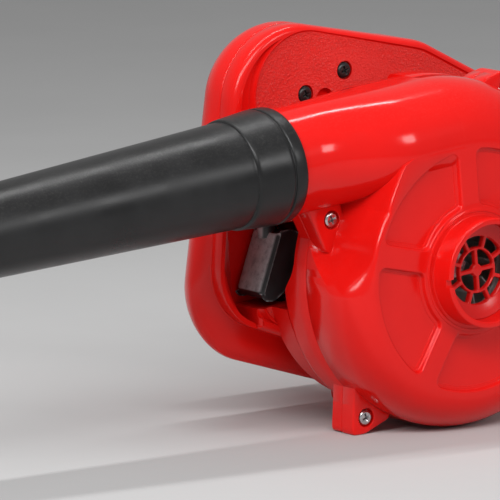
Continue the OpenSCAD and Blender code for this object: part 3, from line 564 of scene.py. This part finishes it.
def window(near, far, half, bend, a0, a1):
    """Outline of an opening between two circles and two radial bars of half width half, with rounded corners: each
    corner is an arc that touches the bar's side and the circle. A row of arcs holds a centre's distance and direction,
    a radius, the first and last directions and the number of points."""
    phi_far, phi_near = math.asin((half + bend) / (far - bend)), math.asin((half + bend) / (near + bend))
    q = math.pi / 2
    arcs = [(far - bend, a0 + phi_far, bend, a0 - q, a0 + phi_far, 9),
            (0, 0, far, a0 + phi_far, a1 - phi_far, 60),
            (far - bend, a1 - phi_far, bend, a1 - phi_far, a1 + q, 9),
            (near + bend, a1 - phi_near, bend, a1 + q, a1 - phi_near + 2 * q, 9),
            (0, 0, near, a1 - phi_near, a0 + phi_near, 30),
            (near + bend, a0 + phi_near, bend, a0 + phi_near + 2 * q, a0 + 3 * q, 9)]
    points = []
    for distance, angle, radius, start, end, steps in arcs:
        t = np.linspace(start, end, steps)
        points.append(np.stack([distance * math.cos(angle) + radius * np.cos(t),
                                distance * math.sin(angle) + radius * np.sin(t)], -1))
    return np.concatenate(points)


def sector_cutter(k):
    """Room of one sunken sector: lip, wall, rounded foot and a fine step along its floor's edge."""
    steps = [(0.7, FACE_Y - 3), (0.7, FACE_Y - 0.05), (0.45, FACE_Y + 0.1), (0.15, FACE_Y + 0.4), (0.0, FACE_Y + 0.8),
             (-0.25, FACE_Y + 2.3), (-0.5, FACE_Y + 2.65), (-0.9, FACE_Y + 2.8), (-2.0, FACE_Y + 2.85),
             (-2.15, FACE_Y + 3.2), (-2.6, FACE_Y + 3.25)]
    start = math.radians(90 + 360 / SPOKES * k)
    end = start + 2 * math.pi / SPOKES
    return pile(steps, lambda g: window(BOSS_R + 2.0 - g, SECTOR_R + g, SPOKE_HALF - g, 4.0 + g, start, end))


def box_cutter(low, high):
    """Plain box between two corners (x, y, z), for cutting."""
    x, z = (low[0], high[0]), (low[2], high[2])
    return plate([(x[0], z[0]), (x[1], z[0]), (x[1], z[1]), (x[0], z[1])], low[1], high[1])


def scoop(grow):
    """Room for the trigger in the casing's rear flank, seen along X as a five-cornered outline with rounded corners;
    grow thickens it into the air space."""
    top, low = 41 + grow, -7 - grow
    corners = [(64 - grow, top), (64 - grow, 9 - grow), (76 - grow, low), (96, low), (96, top)]
    side = rounded(corners, [5, 6, 7, 0.1, 0.1])
    rows = [np.stack([x + 0 * side[:, 0], side[:, 0], side[:, 1]], -1) for x in (-120, -64 + grow)]
    return stack_rings("scoop", rows)


t = np.linspace(0, 1, 26)[:, None]
angle = CREASE + (math.pi / 2 - CREASE) * t
arc_r = SIDE_R - (SIDE_R - FACE_R) * (1 - np.sin(angle)) / (1 - np.sin(CREASE))
arc_y = FACE_Y + SHOULDER * (1 - np.cos(angle) / np.cos(CREASE))
steps = [0, 0.05, 0.1, 0.16, 0.24, 0.34, 0.5, 0.7, 0.85, 0.93, 1]
flank_share = np.interp(t, steps, [0, 0.025, 0.06, 0.095, 0.125, 0.155, 0.22, 0.33, 0.43, 0.62, 0.97])
flank_r = FACE_R + flank_share * (SIDE_R - FACE_R)
flank_y = np.interp(t, steps, [13.6, 13.75, 14.3, 15.3, 17, 20, 28, 38, 45, 49.5, SEAM_Y - 0.6])
FLANK = smooth((181 - DEGREES) / 20)
arc_r, arc_y = arc_r + FLANK * (flank_r - arc_r), arc_y + FLANK * (flank_y - arc_y)
BOSS_Y = FACE_Y - 0.7
rows = [(COLLAR_BORE_R, FACE_IN_Y), (COLLAR_BORE_R, 1.0), (COLLAR_BORE_R + 0.15, 0.45),
        (COLLAR_BORE_R + 0.45, 0.15), (COLLAR_BORE_R + 1.0, 0.0),
        (COLLAR_R - 0.9, 0.0), (COLLAR_R - 0.4, 0.12), (COLLAR_R - 0.1, 0.4), (COLLAR_R, 0.9),
        (COLLAR_R, BOSS_Y - 0.6), (COLLAR_R + 0.2, BOSS_Y - 0.15), (COLLAR_R + 0.6, BOSS_Y), (30.6, BOSS_Y),
        (30.75, BOSS_Y + 0.3), (30.95, BOSS_Y + 0.3), (31.1, BOSS_Y), (BOSS_R - 0.3, BOSS_Y), (BOSS_R, BOSS_Y + 0.15),
        (BOSS_R + 0.15, FACE_Y - 0.15), (BOSS_R + 0.5, FACE_Y), (36.0, FACE_Y), (45.0, FACE_Y), (55.0, FACE_Y),
        (64.0, FACE_Y), (FACE_R - 1.2, FACE_Y)]
rows += list(zip(arc_r, arc_y))
rows += [(SIDE_R, SEAM_Y - 0.5), (SIDE_R - 0.3, SEAM_Y - 0.1), (SIDE_R - WALL, SEAM_Y - 0.1)]
rows += [(arc_r[i] - WALL, np.minimum(arc_y[i] + 1.5, SEAM_Y - 0.6)) for i in (24, 20, 15, 10)]
rows += [(arc_r[5] - WALL - 1, np.maximum(arc_y[5] + 2, FACE_IN_Y + 2)), (FACE_R - 4, FACE_IN_Y)]
scroll_front = turned("scroll_front", rows)
notches = [box_cutter((-COLLAR_R - 1, -1, -2), (-COLLAR_BORE_R + 1, 3, 2)),
           box_cutter((COLLAR_BORE_R - 1, -1, -2), (COLLAR_R + 1, 3, 2))]
cut(scroll_front, *[sector_cutter(k) for k in range(SPOKES)], *notches)

FILLET = 6.0
rows = [(15.0, SEAM_Y + 0.1), (SIDE_R - 0.3, SEAM_Y + 0.1), (SIDE_R, SEAM_Y + 0.5), (SIDE_R, 62.0)]
rows += [(SIDE_R - FILLET + FILLET * math.cos(k), CASING_BACK_Y - FILLET + FILLET * math.sin(k))
         for k in np.linspace(0, math.pi / 2, 9)]
rows += [(60.0, CASING_BACK_Y), (15.0, CASING_BACK_Y)]
scroll_back = turned("scroll_back", rows)
rows = [(14.0, SEAM_Y - 1), (SIDE_R - WALL, SEAM_Y - 1), (SIDE_R - WALL, CASING_BACK_Y - FILLET - 1),
        (SIDE_R - FILLET - 0.5, CASING_BACK_Y - WALL), (60.0, CASING_BACK_Y - WALL), (14.0, CASING_BACK_Y - WALL)]
cut(scroll_back, cut(turned("air_space", rows), scoop(WALL)), scoop(0.0))


def pipe_section(x, inset):
    """Outlet section at x: the pipe's circle, blended into the scroll's own section by smooth((x + 86) / 56). The
    latter is an ellipse in front and a box with rounded corners behind, cos and sin to the power 2/5."""
    phi = np.linspace(0, 2 * math.pi, 240, endpoint=False)
    c, s = np.cos(phi), np.sin(phi)
    back = c < 0
    power = np.where(back, 0.4, 1.0)
    shaped_c, shaped_s = np.sign(c) * np.abs(c) ** power, np.sign(s) * np.abs(s) ** power
    front, behind, above, below = 33.0 - inset, 29.4 - inset, 32.5 - inset, 22.0 - inset
    y = 46.6 - np.where(back, behind, front) * shaped_c
    z = 66.5 + np.where(s > 0, above, below) * shaped_s
    blend = float(smooth((x + 86.0) / 56.0))
    r = PIPE_R - inset
    y = (1 - blend) * (SEAM_Y - r * c) + blend * y
    z = (1 - blend) * (PIPE_Z + r * s) + blend * z
    return np.stack([x + 0 * phi, y, z], -1)


ends = [PIPE_END_X, PIPE_END_X + 0.2, PIPE_END_X + 0.8]
stations = np.concatenate([ends, [-112.0, -100.0, -90.0], np.linspace(-86, -28, 40), [-14.0, -0.6]])
outer = np.stack([pipe_section(x, 0.6 if i == 0 else 0.2 if i == 1 else 0.0) for i, x in enumerate(stations)])
inner = np.stack([pipe_section(x, WALL) for x in stations])


def outlet_less(name, low_y, high_y):
    """The outlet as a wall open at both ends, without what lies between two depths."""
    obj = thick(name, outer.transpose(1, 0, 2), inner.transpose(1, 0, 2))
    return cut(obj, box_cutter((-140, low_y, 0), (20, high_y, 130)))


pipe_front = outlet_less("pipe_front", SEAM_Y - SEAM_HALF, 120)
pipe_back = outlet_less("pipe_back", -20, SEAM_Y + SEAM_HALF)


def floor_z(x):
    """Height of the floor on the working axes at x."""
    return (-FLOOR - x * math.sin(DROOP)) / math.cos(DROOP)


TONGUE = rounded([(-84.7, 45.5), (-62.6, 46), (-61.2, 39), (-62.2, 33), (-67.5, 18), (-74.5, 20), (-78.5, 31)],
                 [3.5, 4, 3, 5, 3, 3, 8])


def foot_outline(up):
    """Front view of the lower ear, ending up above the floor."""
    corners = [(-62.5, -52), (-66.3, -77.5), (-65.6, floor_z(-65.6) + up), (-58, floor_z(-58) + up),
               (-40.2, -75.6), (-42, -60)]
    return rounded(corners, [2, 1.2, 1.5, 3, 3.5, 3])


def rim_point(degrees_at, out, aside=0):
    """Point of the front view by the casing's rim, out from it and aside by degrees, from the centre of its arc."""
    x, z, r = QUARTERS[3 if degrees_at < 90 else 2]
    a = math.radians(degrees_at + aside)
    return x + (r + out) * math.cos(a), z + (r + out) * math.sin(a)


def rim_ear(degrees_at):
    """Front view of an ear on the casing's rim."""
    corners = [rim_point(degrees_at, *q) for q in ((-6, -12), (2, -9), (10, -3), (10, 3), (2, 9), (-6, 12))]
    return rounded(corners, [1, 4, 3.5, 3.5, 4, 1])


RIM_SCREWS = [rim_point(at, RIM_EAR_OUT) for at in RIM_EARS]
front_lugs, back_lugs = [], []
fronts = [TONGUE, foot_outline(0.0)] + [rim_ear(at) for at in RIM_EARS]
backs = [TONGUE, foot_outline(0.4)] + fronts[2:]
for screw_at, front, back in zip(CASING_SCREWS + RIM_SCREWS, fronts, backs):
    front_lugs.append(boss("ear", screw_at, front, EAR_FRONT_Y, SEAM_Y - SEAM_HALF, RECESS_R, EAR_RECESS))
    back_lugs.append(boss("ear_back", screw_at, back, SEAM_Y + SEAM_HALF, EAR_BACK_Y, 0, 0, edge=0.4))

casing_front = joined("casing_front", [scroll_front, pipe_front, *front_lugs])
dress(casing_front, "housing", "casing_red", "fan_casing_front")
casing_back = joined("casing_back", [scroll_back, pipe_back, *back_lugs])
dress(casing_back, "housing", "casing_red", "fan_casing_back")

# ---------- nozzle ----------

FIT_R = PIPE_R + 0.06
profile = [(FIT_R, NOZZLE_REAR_X - 0.6), (FIT_R + 0.3, NOZZLE_REAR_X - 0.1), (FIT_R + 0.8, NOZZLE_REAR_X),
           (29.6, NOZZLE_REAR_X), (30.1, NOZZLE_REAR_X - 0.25), (30.4, NOZZLE_REAR_X - 0.9), (30.55, -98.6),
           (30.75, -103.2), (30.65, -103.8), (30.3, -104.1), (29.95, -104.25), (29.9, -104.6), (29.9, -105.1),
           (30.1, -105.35), (30.5, -105.5), (30.68, -105.9), (30.6, -107.0), (29.2, -124.6), (29.05, -126.0),
           (28.8, -126.6), (28.2, -126.9), (27.9, -127.05), (27.85, -127.5), (27.9, -128.4)]
tip_start = NOZZLE_TIP_X + 14
profile += list(zip(np.linspace(27.9, TIP_R, 14), np.linspace(-129.5, tip_start, 14)))
profile += [(TIP_R, NOZZLE_TIP_X + 0.8), (21.2, NOZZLE_TIP_X + 0.2), (20.8, NOZZLE_TIP_X), (19.6, NOZZLE_TIP_X),
            (19.1, NOZZLE_TIP_X + 0.2), (19.0, NOZZLE_TIP_X + 0.8), (19.0, NOZZLE_TIP_X + 16), (25.4, -128.0),
            (25.6, PIPE_END_X - 1.5), (FIT_R, PIPE_END_X - 1.5)]
nozzle = lathe("nozzle_skin", profile, "x", (SEAM_Y, PIPE_Z), 220, 50)
dress(nozzle, "nozzle", "nozzle_black", "nozzle")

# ---------- handle ----------

TILT = math.radians(25.5)
TRIGGER_TOP = np.array([-71.9, 24.0])
DOWN = np.array([-math.sin(TILT), -math.cos(TILT)])
TRAVEL = np.array([math.cos(TILT), -math.sin(TILT)])
TRIGGER_Y = 100.0
TRIGGER_HALF = 11.7
LOCK_AT = (-66, 8)
BRUSH_Y = 155.0
INLET_AT = (54.0, 116.0, -36.0)
INLET_TILT = math.radians(16)
INLET_HOLE_R = 7.05
SCREW_SEAT_Y = 91.6
FIXING_SCREWS = [(62 * math.cos(a), 62 * math.sin(a)) for a in np.radians([25, 215, 325])]
CAP_SCREWS = [(35.8 * math.cos(a), 35.8 * math.sin(a)) for a in np.radians([45, 135, 225, 315])]
CAP_END_Y = 179.0
HAND_HOLE = np.concatenate([
    [(-87, -23.5), (-91, -18), (-96, -8), (-99, 5), (-99.5, 20), (-97, 45), (-91, 64), (-80, 75), (-60, 79), (0, 79),
     (28, 76), (39, 67), (38, 54)],
    [(46 * math.cos(a), 46 * math.sin(a)) for a in np.radians(np.arange(50, 141, 6))],
    [(-58, 30), (-66, 28.5), (-86.5, 28.5)]])[::-1]
HOLE_BENDS = [1.5, 5, 1.5] + [6] * 16 + [3, 3, 8, 12, 12, 6, 10, 10, 8, 6, 6, 3, 0.8]
HOLE = resampled(rounded(HAND_HOLE, HOLE_BENDS, 8), 420)


def grown(outline, by):
    """Closed outline moved out of itself by a small step."""
    return outline + outward(outline) * by


def front_outline(inset):
    """Front outline of the handle, drawn in by inset."""
    return wrapped(FRONT_CIRCLES, inset)


def panel_outline(grow):
    """Outline of the handle's front panel, moved outwards by grow."""
    return wrapped(PANEL_CIRCLES, -grow)


def trigger_slot(y0, y1):
    """Room for the trigger between two depths, for cutting."""
    return box_cutter((-92, y0, -14), (-46.8, y1, 28.5))


# Valley between the front shell's rim and its panel, and the panel's shallow recess, left out near the casing
valley = cut(pile([(0.4, 86.5), (0.3, 88.2), (-0.1, 88.8), (-0.7, 90.4), (-1.4, 91.1), (-2.2, 91.2)],
                  lambda grow: front_outline(5.4 - grow)),
             pile([(0.9, 85), (1.0, 88.6), (1.4, 89.2), (1.9, 90.6), (2.6, 91.4), (2.6, 93)], panel_outline),
             rod(79.9, 60, 100))
recess = cut(pile([(0.2, 86), (0.15, 88.0), (-0.1, 88.35), (-0.6, 89.0), (-1.1, 89.2)], panel_outline),
             rod(80, 60, 100))
shell = pile([(4.0, 88.0), (3.0, 88.15), (2.0, 88.6), (1.1, 89.5), (0.5, 90.8), (0.1, 92.4), (0.0, 94.0), (0.0, 99.3),
              (0.2, 99.75), (0.5, 99.95)], front_outline)
inner = cut(pile([(6.1, 93.6), (WALL, 98.1), (WALL, 101.0)], front_outline),
            plate(grown(HOLE, WALL), 60, 110), box_cutter((-94.6, 80, -16.6), (-69, 110, 31.1)),
            *[rod(5.2, 80, 102, p) for p in HANDLE_SCREWS + FIXING_SCREWS], rod(8.5, 80, 96, SPARE_RECESS))
gap = cut(pile([(2.8, 60.0), (2.8, 101.0)], front_outline),
          box_cutter((-150, 50, -150), (150, 120, -24)), box_cutter((-150, 50, 76), (150, 120, 150)),
          box_cutter((-87, 50, -30), (150, 120, 80)))
neck = lathe("neck", [(80, 76), (80, 90), (77.4, 90), (77.4, 76)], n=180)


def openings():
    """Cutters that go through the shell's face and its neck alike: the hand hole, finger gap and trigger slot."""
    return [pile([(1.5, 60), (1.5, 89.0), (1.2, 89.35), (0.6, 89.8), (0.2, 90.5), (0.0, 91.5), (0.0, 101)],
                 lambda grow: grown(HOLE, grow)),
            box_cutter((-130, 60, -40), (-88, 91.8, 50)), trigger_slot(60, 110),
            box_cutter((-120, 60, -7), (-50, 88, 45))]


cut(shell, inner, valley, recess, gap, *openings(), rod(41, 60, 110),
    rod(5.6, 80, 92.6, SPARE_RECESS, 48), *[rod(RECESS_R, 60, SCREW_SEAT_Y, p, 48) for p in HANDLE_SCREWS],
    *[rod(SCREW_HOLE_R, 60, 110, p, 24) for p in HANDLE_SCREWS + FIXING_SCREWS])
cut(neck, *openings(), box_cutter((-90, 70, 34), (90, 100, 90)))
tube = lathe("tube", [(44, 88), (44, 99.9), (41, 99.9), (41, 88)], n=96)
profile = [(6.2, 76), (6.2, 90), (SCREW_HOLE_R, 90), (SCREW_HOLE_R, 76)]
handle_front = joined("handle_front", [shell, neck, tube] + [lathe("post", profile, "y", p, 48) for p in FIXING_SCREWS])
dress(handle_front, "housing", "shell_red", "handle_front_shell")


# Rows of the back shell (share, inset, y), as back_ring() reads them
BACK_ROWS = [(0.0, 0.0, 100.7), (0.3, 0.0, 101.7), (0.62, 0.0, 103.4), (0.85, 0.0, 105.4), (0.97, 0.1, 107.6)]
BACK_ROWS += [(1.0, inset, y) for inset, y in (
    (0.5, 110.0), (1.4, 113.0), (2.7, 116.0), (4.5, 119.2), (6.8, 122.6), (9.4, 126.0), (12.3, 129.2), (15.3, 131.9),
    (18.0, 133.8), (20.0, 134.8), (21.2, 135.0))]


def back_ring(share, inset, y, wall=0.0):
    """Ring of the back shell: share of the way from the front outline to the fuller back outline. The two circles of
    the grip are drawn in by inset, the others by a quarter ellipse's fall from y 119 to 135, and all by wall."""
    fall = min(inset, 13 * (1 - math.sqrt(1 - min(1.0, max(0.0, (y - 119) / 16)) ** 2)))
    circles = FRONT_CIRCLES + (BACK_CIRCLES - FRONT_CIRCLES) * share
    return ring(wrapped(circles - np.outer([inset, fall, fall, fall, inset], [0, 0, 1]), wall), y)


rows = [(0.0, 0.5, 100.05), (0.0, 0.2, 100.25)] + BACK_ROWS
outer_back = stack_rings("outer_back", [back_ring(*row) for row in rows], 30)
inner_rows = [(0.0, 0.0, 99.0)] + [row for row in BACK_ROWS if row[2] < 132.4]
inner = cut(stack_rings("inner", [back_ring(*row, WALL) for row in inner_rows]),
            plate(grown(HOLE, WALL), 90, 170), box_cutter((-94.6, 90, -16.6), (-69, 114.5, 31.1)),
            *[rod(4.6, 90, 141, p) for p in HANDLE_SCREWS], rod(8.4, 112.3, 141, LOCK_AT),
            *[rod(3.2, 111, 141, (41.5, -32.42 + 8.2 * s)) for s in (-1, 1)])
cut(outer_back, inner)
foot_shape = np.array([(-14, -60), (-14, floor_z(-14)), (50, floor_z(50)), (50, -60)])
foot_shape = resampled(rounded(foot_shape, [1, 4, 4, 1], 7), 160)
foot = pile([(1.0, 106), (0.3, 106.3), (0, 107), (0, 129), (0.3, 129.7), (1.0, 130)],
            lambda inset: grown(foot_shape, -inset))
barrel = lathe("barrel", [(BARREL_R - 0.1, 118), (BARREL_R, 119), (BARREL_R, BARREL_END_Y - 0.5),
                          (BARREL_R - 0.4, BARREL_END_Y - 0.1), (BARREL_IN_R, BARREL_END_Y - 0.1),
                          (BARREL_IN_R, 100.05), (BARREL_R, 100.05)], n=160)
cap_holes, bosses = [], []
for way in (-1, 1):
    reach = [(0, way * 36.6), (6.02, way * 36.6), (6.02, way * 50.6), (0, way * 50.6)]
    cap_holes.append(lathe("cutter", reach, "x", (BRUSH_Y, 0), 64))
    collar = [(6.02, way * 38), (8.4, way * 38), (8.4, way * 42.5), (7.9, way * 43), (6.02, way * 43)]
    bosses.append(lathe("boss", collar, "x", (BRUSH_Y, 0), 64))
cut(barrel, *cap_holes)
inlet_way, inlet_side = np.array([math.cos(INLET_TILT), 0, -math.sin(INLET_TILT)]), np.array([0.0, 1.0, 0.0])
turn = np.linspace(0, 2 * math.pi, 64, endpoint=False)[:, None]
circle = np.cos(turn) * inlet_side + np.sin(turn) * np.cross(inlet_way, inlet_side)
inlet = stack_rings("cutter", [np.array(INLET_AT) + s * inlet_way + INLET_HOLE_R * circle for s in (-20, 20)])
cut(outer_back, plate(HOLE, 90, 170), trigger_slot(90, 112.3), rod(BARREL_IN_R, 90, 173, n=160),
    rod(6.4, 114.3, 125.4, LOCK_AT), rod(4.9, 120, 150, LOCK_AT), inlet,
    *[rod(SCREW_HOLE_R, 90, 124, p, 24) for p in HANDLE_SCREWS])
handle_back = joined("handle_back", [outer_back, barrel, foot] + bosses)
dress(handle_back, "housing", "shell_red", "handle_back_shell")

# ---------- trigger and buttons ----------

hub = np.array([-70.5, TRIGGER_Y])
face_end = TRIGGER_TOP + 32 * DOWN
corners = [TRIGGER_TOP, face_end, face_end + [3, -4.5], (-77.5, -10.4), (-60, -0.5), (-54, 5), (-54, 16), (-61, 24)]
side = resampled(rounded(corners, [1.2, 1.6, 1.5, 3, 8, 3, 3, 5], 7)[::-1], 260)
depth_in = (side - TRIGGER_TOP) @ TRAVEL
down_by = (side - TRIGGER_TOP) @ DOWN
on_face = smooth((2.2 - depth_in) / 1.6) * smooth((down_by + 2) / 3)
rings = []
for u in np.concatenate([[-1, -0.985, -0.95], np.linspace(-0.88, 0.88, 23), [0.95, 0.985, 1]]):
    off = TRIGGER_HALF * abs(u)
    push = 0.55 * u * u + np.maximum(off - 8.8, 0) ** 1.35 * 0.60
    edge = 1.1 * (1 - math.sqrt(max(0.0, 1 - max(0.0, (off - 10.6) / 1.1) ** 2)))
    outline = side + TRAVEL * (push * on_face)[:, None] - outward(side) * (edge * (1 - 0.6 * on_face))[:, None]
    rings.append(ring(outline, TRIGGER_Y + TRIGGER_HALF * u))
body = stack_rings("trigger_body", rings, 50)


def travel_box(low, high):
    """Box on the trigger's travel for cutting: down the face, across and the way the trigger is pressed."""
    corners = np.array([(low[0], low[2]), (high[0], low[2]), (high[0], high[2]), (low[0], high[2])])
    outline = TRIGGER_TOP + corners[:, :1] * DOWN + corners[:, 1:] * TRAVEL
    return plate(outline, TRIGGER_Y + low[1], TRIGGER_Y + high[1])


def upright(r, z0, z1):
    """Plain upright cylinder about the hub, for cutting."""
    a = np.linspace(0, 2 * math.pi, 48, endpoint=False)
    x, y = hub[0] + r * np.cos(a), hub[1] + r * np.sin(a)
    return stack_rings("cutter", [np.stack([x, y, z + 0 * a], -1) for z in (z0, z1)])


pocket = travel_box((2.4, -9.5, 2.6), (60, 9.5, 60))
cut(pocket, travel_box((29.6, -20, 0), (60, 20, 8)), upright(4.7, 12, 28))
cut(body, pocket, upright(4.6, 23.0, 30), sharp=50)
a = np.linspace(0, 2 * math.pi, 64, endpoint=False)[:, None]
rows = np.array([(2.7, 21), (2.7, 27.0), (2.85, 27.35), (3.15, 27.5), (3.5, 27.6), (4.1, 27.8), (4.5, 27.5),
                 (4.7, 27.0), (4.7, 21)])
points = np.stack([hub[0] + rows[:, 0] * np.cos(a), hub[1] + rows[:, 0] * np.sin(a), rows[:, 1] + 0 * a], -1)
collar = to_object("hub", points, quads(64, len(rows), True, True))
trigger = joined("trigger_skin", [body, collar])
dress(trigger, "trigger", "trigger_black", "trigger")

profile = [(0.01, 123), (5.8, 123), (6, 123.2), (6, 124.8), (5.8, 125), (4.6, 125), (4.6, 137.2), (4.35, 137.9),
           (3.7, 138.25), (2.4, 138.4), (2.0, 138.2), (1.2, 138.0), (0.01, 138.0)]
lock = lathe("lock_skin", profile, "y", LOCK_AT, 64)
dress(lock, "lock_on_button", "part_black", "lock_button")

# ---------- screws ----------


def cross_screw(at, y, length, r, r_head, h_head, flip=False):
    """Pan-head screw with a cross recess that narrows downwards and a shank with ridges 0.8 mm apart for its thread; y
    is the head's seat."""
    way = -1.0 if flip else 1.0
    t = np.linspace(0, math.pi / 2, 9)
    rows = [(0.01, -h_head)]
    rows += [(r_head * 0.62 + r_head * 0.38 * math.sin(k), -0.35 * h_head - 0.65 * h_head * math.cos(k)) for k in t]
    rows += [(r_head, -0.1), (r_head - 0.1, 0.0), (r, 0.0)]
    for k in range(int((length - 2) / 0.8)):
        rows += [(r, 1.0 + 0.8 * k), (r - 0.35, 1.3 + 0.8 * k), (r - 0.35, 1.5 + 0.8 * k)]
    rows += [(r, length - 1.2), (0.01, length)]
    body = lathe("screw", [(q, y + way * h) for q, h in rows], "y", at, 48)
    arm, blade = 0.62 * r_head, 0.12 * r_head + 0.1
    cutters = []
    for turn in (0.3, 0.3 + math.pi / 2):
        u, v = np.array([math.cos(turn), math.sin(turn)]), np.array([-math.sin(turn), math.cos(turn)])
        corners = np.array([u * a * arm + v * b * blade for a, b in ((1, 1), (-1, 1), (-1, -1), (1, -1))])
        ends = [(1.05, y + way * (-h_head - 0.3)), (0.35, y + way * (-h_head + 1.9))]
        cutters.append(pile(ends, lambda share: at + corners * share))
    return cut(body, *cutters)


def screw_set(name, slot, node, places, *sizes, flip=False):
    """One piece of equal screws at several places."""
    dress(joined(name, [cross_screw(np.array(p), *sizes, flip) for p in places]), "housing", slot, node)


screw_set("casing_screw_set", "screw_steel", "casing_screws", CASING_SCREWS + RIM_SCREWS, EAR_FRONT_Y + EAR_RECESS, 13,
          1.9, 4.2, 2.4)
screw_set("handle_screw_set", "screw_black", "handle_screws", HANDLE_SCREWS, SCREW_SEAT_Y, 24, 1.9, 4.3, 3.0)
screw_set("cap_screw_set", "screw_steel", "end_cap_screws", CAP_SCREWS, CAP_END_Y - 3, 18, 1.6, 4.0, 2.2, flip=True)

# ---------- intake grille and motor end cap ----------


profile = [(0.01, 12.3), (2.4, 12.4), (3.4, 12.7), (10.9, 12.6), (12.3, 12.6), (17.4, 12.6), (18.6, 12.2), (20.0, 11.6),
           (23.0, 10.8), (25.3, 10.2), (25.5, 10.4), (25.5, 16.0), (20.0, 16.0), (19.0, 15.4), (0.01, 15.4)]
grille = lathe("grille_skin", profile, n=160)
eighth, quarter = math.pi / 4, math.pi / 2
windows = [(12.3, 18.0, eighth * (k + 0.5), eighth * (k + 1.5)) for k in range(8)]
windows += [(3.4, 10.9, quarter * k, quarter * (k + 1)) for k in range(4)]
cutters = []
for near, far, start, end in windows:
    cutters.append(pile([(0.45, 8), (0.45, 12.75), (0.15, 13.0), (0, 13.4), (0, 17)],
                        lambda g: window(near - g, far + g, 1.1 - g, 0.7 + g, start, end)))
cut(grille, *cutters)
dress(grille, "housing", "grille_red", "intake_grille")

profile = [(0.01, 176.6), (34, 176.6), (34, 172.05), (BARREL_R, 172.05), (BARREL_R, 174.2), (41.6, 175), (40.5, 175.6),
           (39.6, 176.2), (38.4, 177.3), (36.6, 178.4), (34.0, CAP_END_Y), (0.01, CAP_END_Y)]
end_cap = lathe("end_cap_skin", profile, n=160)
cutters = [rod(4.6, 176, 190, p, 48) for p in CAP_SCREWS]
for z in range(-24, 25, 6):
    for way in (-1, 1):
        end = way * (30.0 if abs(z) > 5 else 23.5)
        outline = rounded([(2 * way, z - 1.5), (end, z - 1.5), (end, z + 1.5), (2 * way, z + 1.5)], 1.3, 6)
        cutters.append(plate(outline[::way], 170, 190))
cut(end_cap, *cutters)
posts = [lathe("post", [(4.2, 172.1), (4.2, 176.8), (1.7, 176.8), (1.7, 172.1)], "y", p, 48) for p in CAP_SCREWS]
end_cap = joined("end_cap_skin", [end_cap] + posts)
dress(end_cap, "housing", "shell_red", "motor_end_cap")


# ---------- floor, lights and camera ----------


def stage_material(name, colour):
    """Plain matt stage surface, a little uneven."""
    material = bpy.data.materials.new(name)
    material.use_nodes = True
    tree = material.node_tree
    shader = tree.nodes["Principled BSDF"]
    tone = ramp(tree, noise(tree, here(tree), 6.0, 4.0), 0.3, 0.7, colour * 0.985, colour * 1.01)
    grey = add(tree, "ShaderNodeCombineColor", {0: tone, 1: tone, 2: tone}).outputs[0]
    tree.links.new(grey, shader.inputs["Base Color"])
    shader.inputs["Roughness"].default_value = 0.85
    shader.inputs["Specular IOR Level"].default_value = 0.2
    return material


def lamp(name, place, target, size, power):
    """Soft lamp of a width and a height at place, aimed at target, all in metres."""
    light = bpy.data.lights.new(name, "AREA")
    light.shape, light.size, light.size_y, light.energy = "RECTANGLE", size[0], size[1], power
    obj = bpy.data.objects.new(name, light)
    obj.location = place
    obj.rotation_euler = (Vector(target) - Vector(place)).to_track_quat("-Z", "Y").to_euler()
    bpy.context.scene.collection.objects.link(obj)


floor_mesh = bpy.data.meshes.new("floor")
half, level = 6.0, -FLOOR * MM
floor_mesh.from_pydata([(-half, -half, level), (half, -half, level), (half, half, level), (-half, half, level)], [],
                       [(0, 1, 2, 3)])
floor = bpy.data.objects.new("floor", floor_mesh)
floor_mesh.materials.append(stage_material("Pale floor", 0.5))
bpy.context.scene.collection.objects.link(floor)

world = bpy.data.worlds.new("studio")
bpy.context.scene.world = world
world.use_nodes = True
background = world.node_tree.nodes["Background"]
background.inputs["Color"].default_value = (1.0, 1.0, 1.0, 1.0)
background.inputs["Strength"].default_value = 0.35

lamp("key lamp", (-0.8, -1.2, 1.3), (-0.05, 0.05, 0.0), (1.5, 0.5), 21.0)
lamp("window lamp", (0.7, -1.6, 0.8), (0.0, 0.05, 0.0), (0.4, 0.4), 5.0)
lamp("side lamp", (-1.5, -0.4, 0.9), (-0.05, 0.08, 0.0), (0.6, 0.6), 12.0)
lamp("strip lamp", (-0.1, 0.25, 1.1), (-0.1, 0.03, 0.0), (1.3, 0.05), 6.0)

camera_data = bpy.data.cameras.new("camera")
camera_data.sensor_width = 36.0
camera_data.lens = 444.4
camera_data.clip_end = 50.0
camera_data.shift_x = (250 - 252.62) / 500
camera_data.shift_y = (239.77 - 250) / 500
camera = bpy.data.objects.new("camera", camera_data)
right, ahead, up = (0.7964, -0.6048, 0.0036), (0.5977, 0.7860, -0.1579), (0.0927, 0.1278, 0.9874)
turn = Matrix([right, up, [-a for a in ahead]]).transposed()
place = Vector(stand([(-1955.4, -2451.2, 733.3)])[0])
camera.matrix_world = Matrix.Translation(place) @ turn.to_4x4()
bpy.context.scene.collection.objects.link(camera)
bpy.context.scene.camera = camera

view = bpy.context.scene.view_settings
view.view_transform = "Standard"
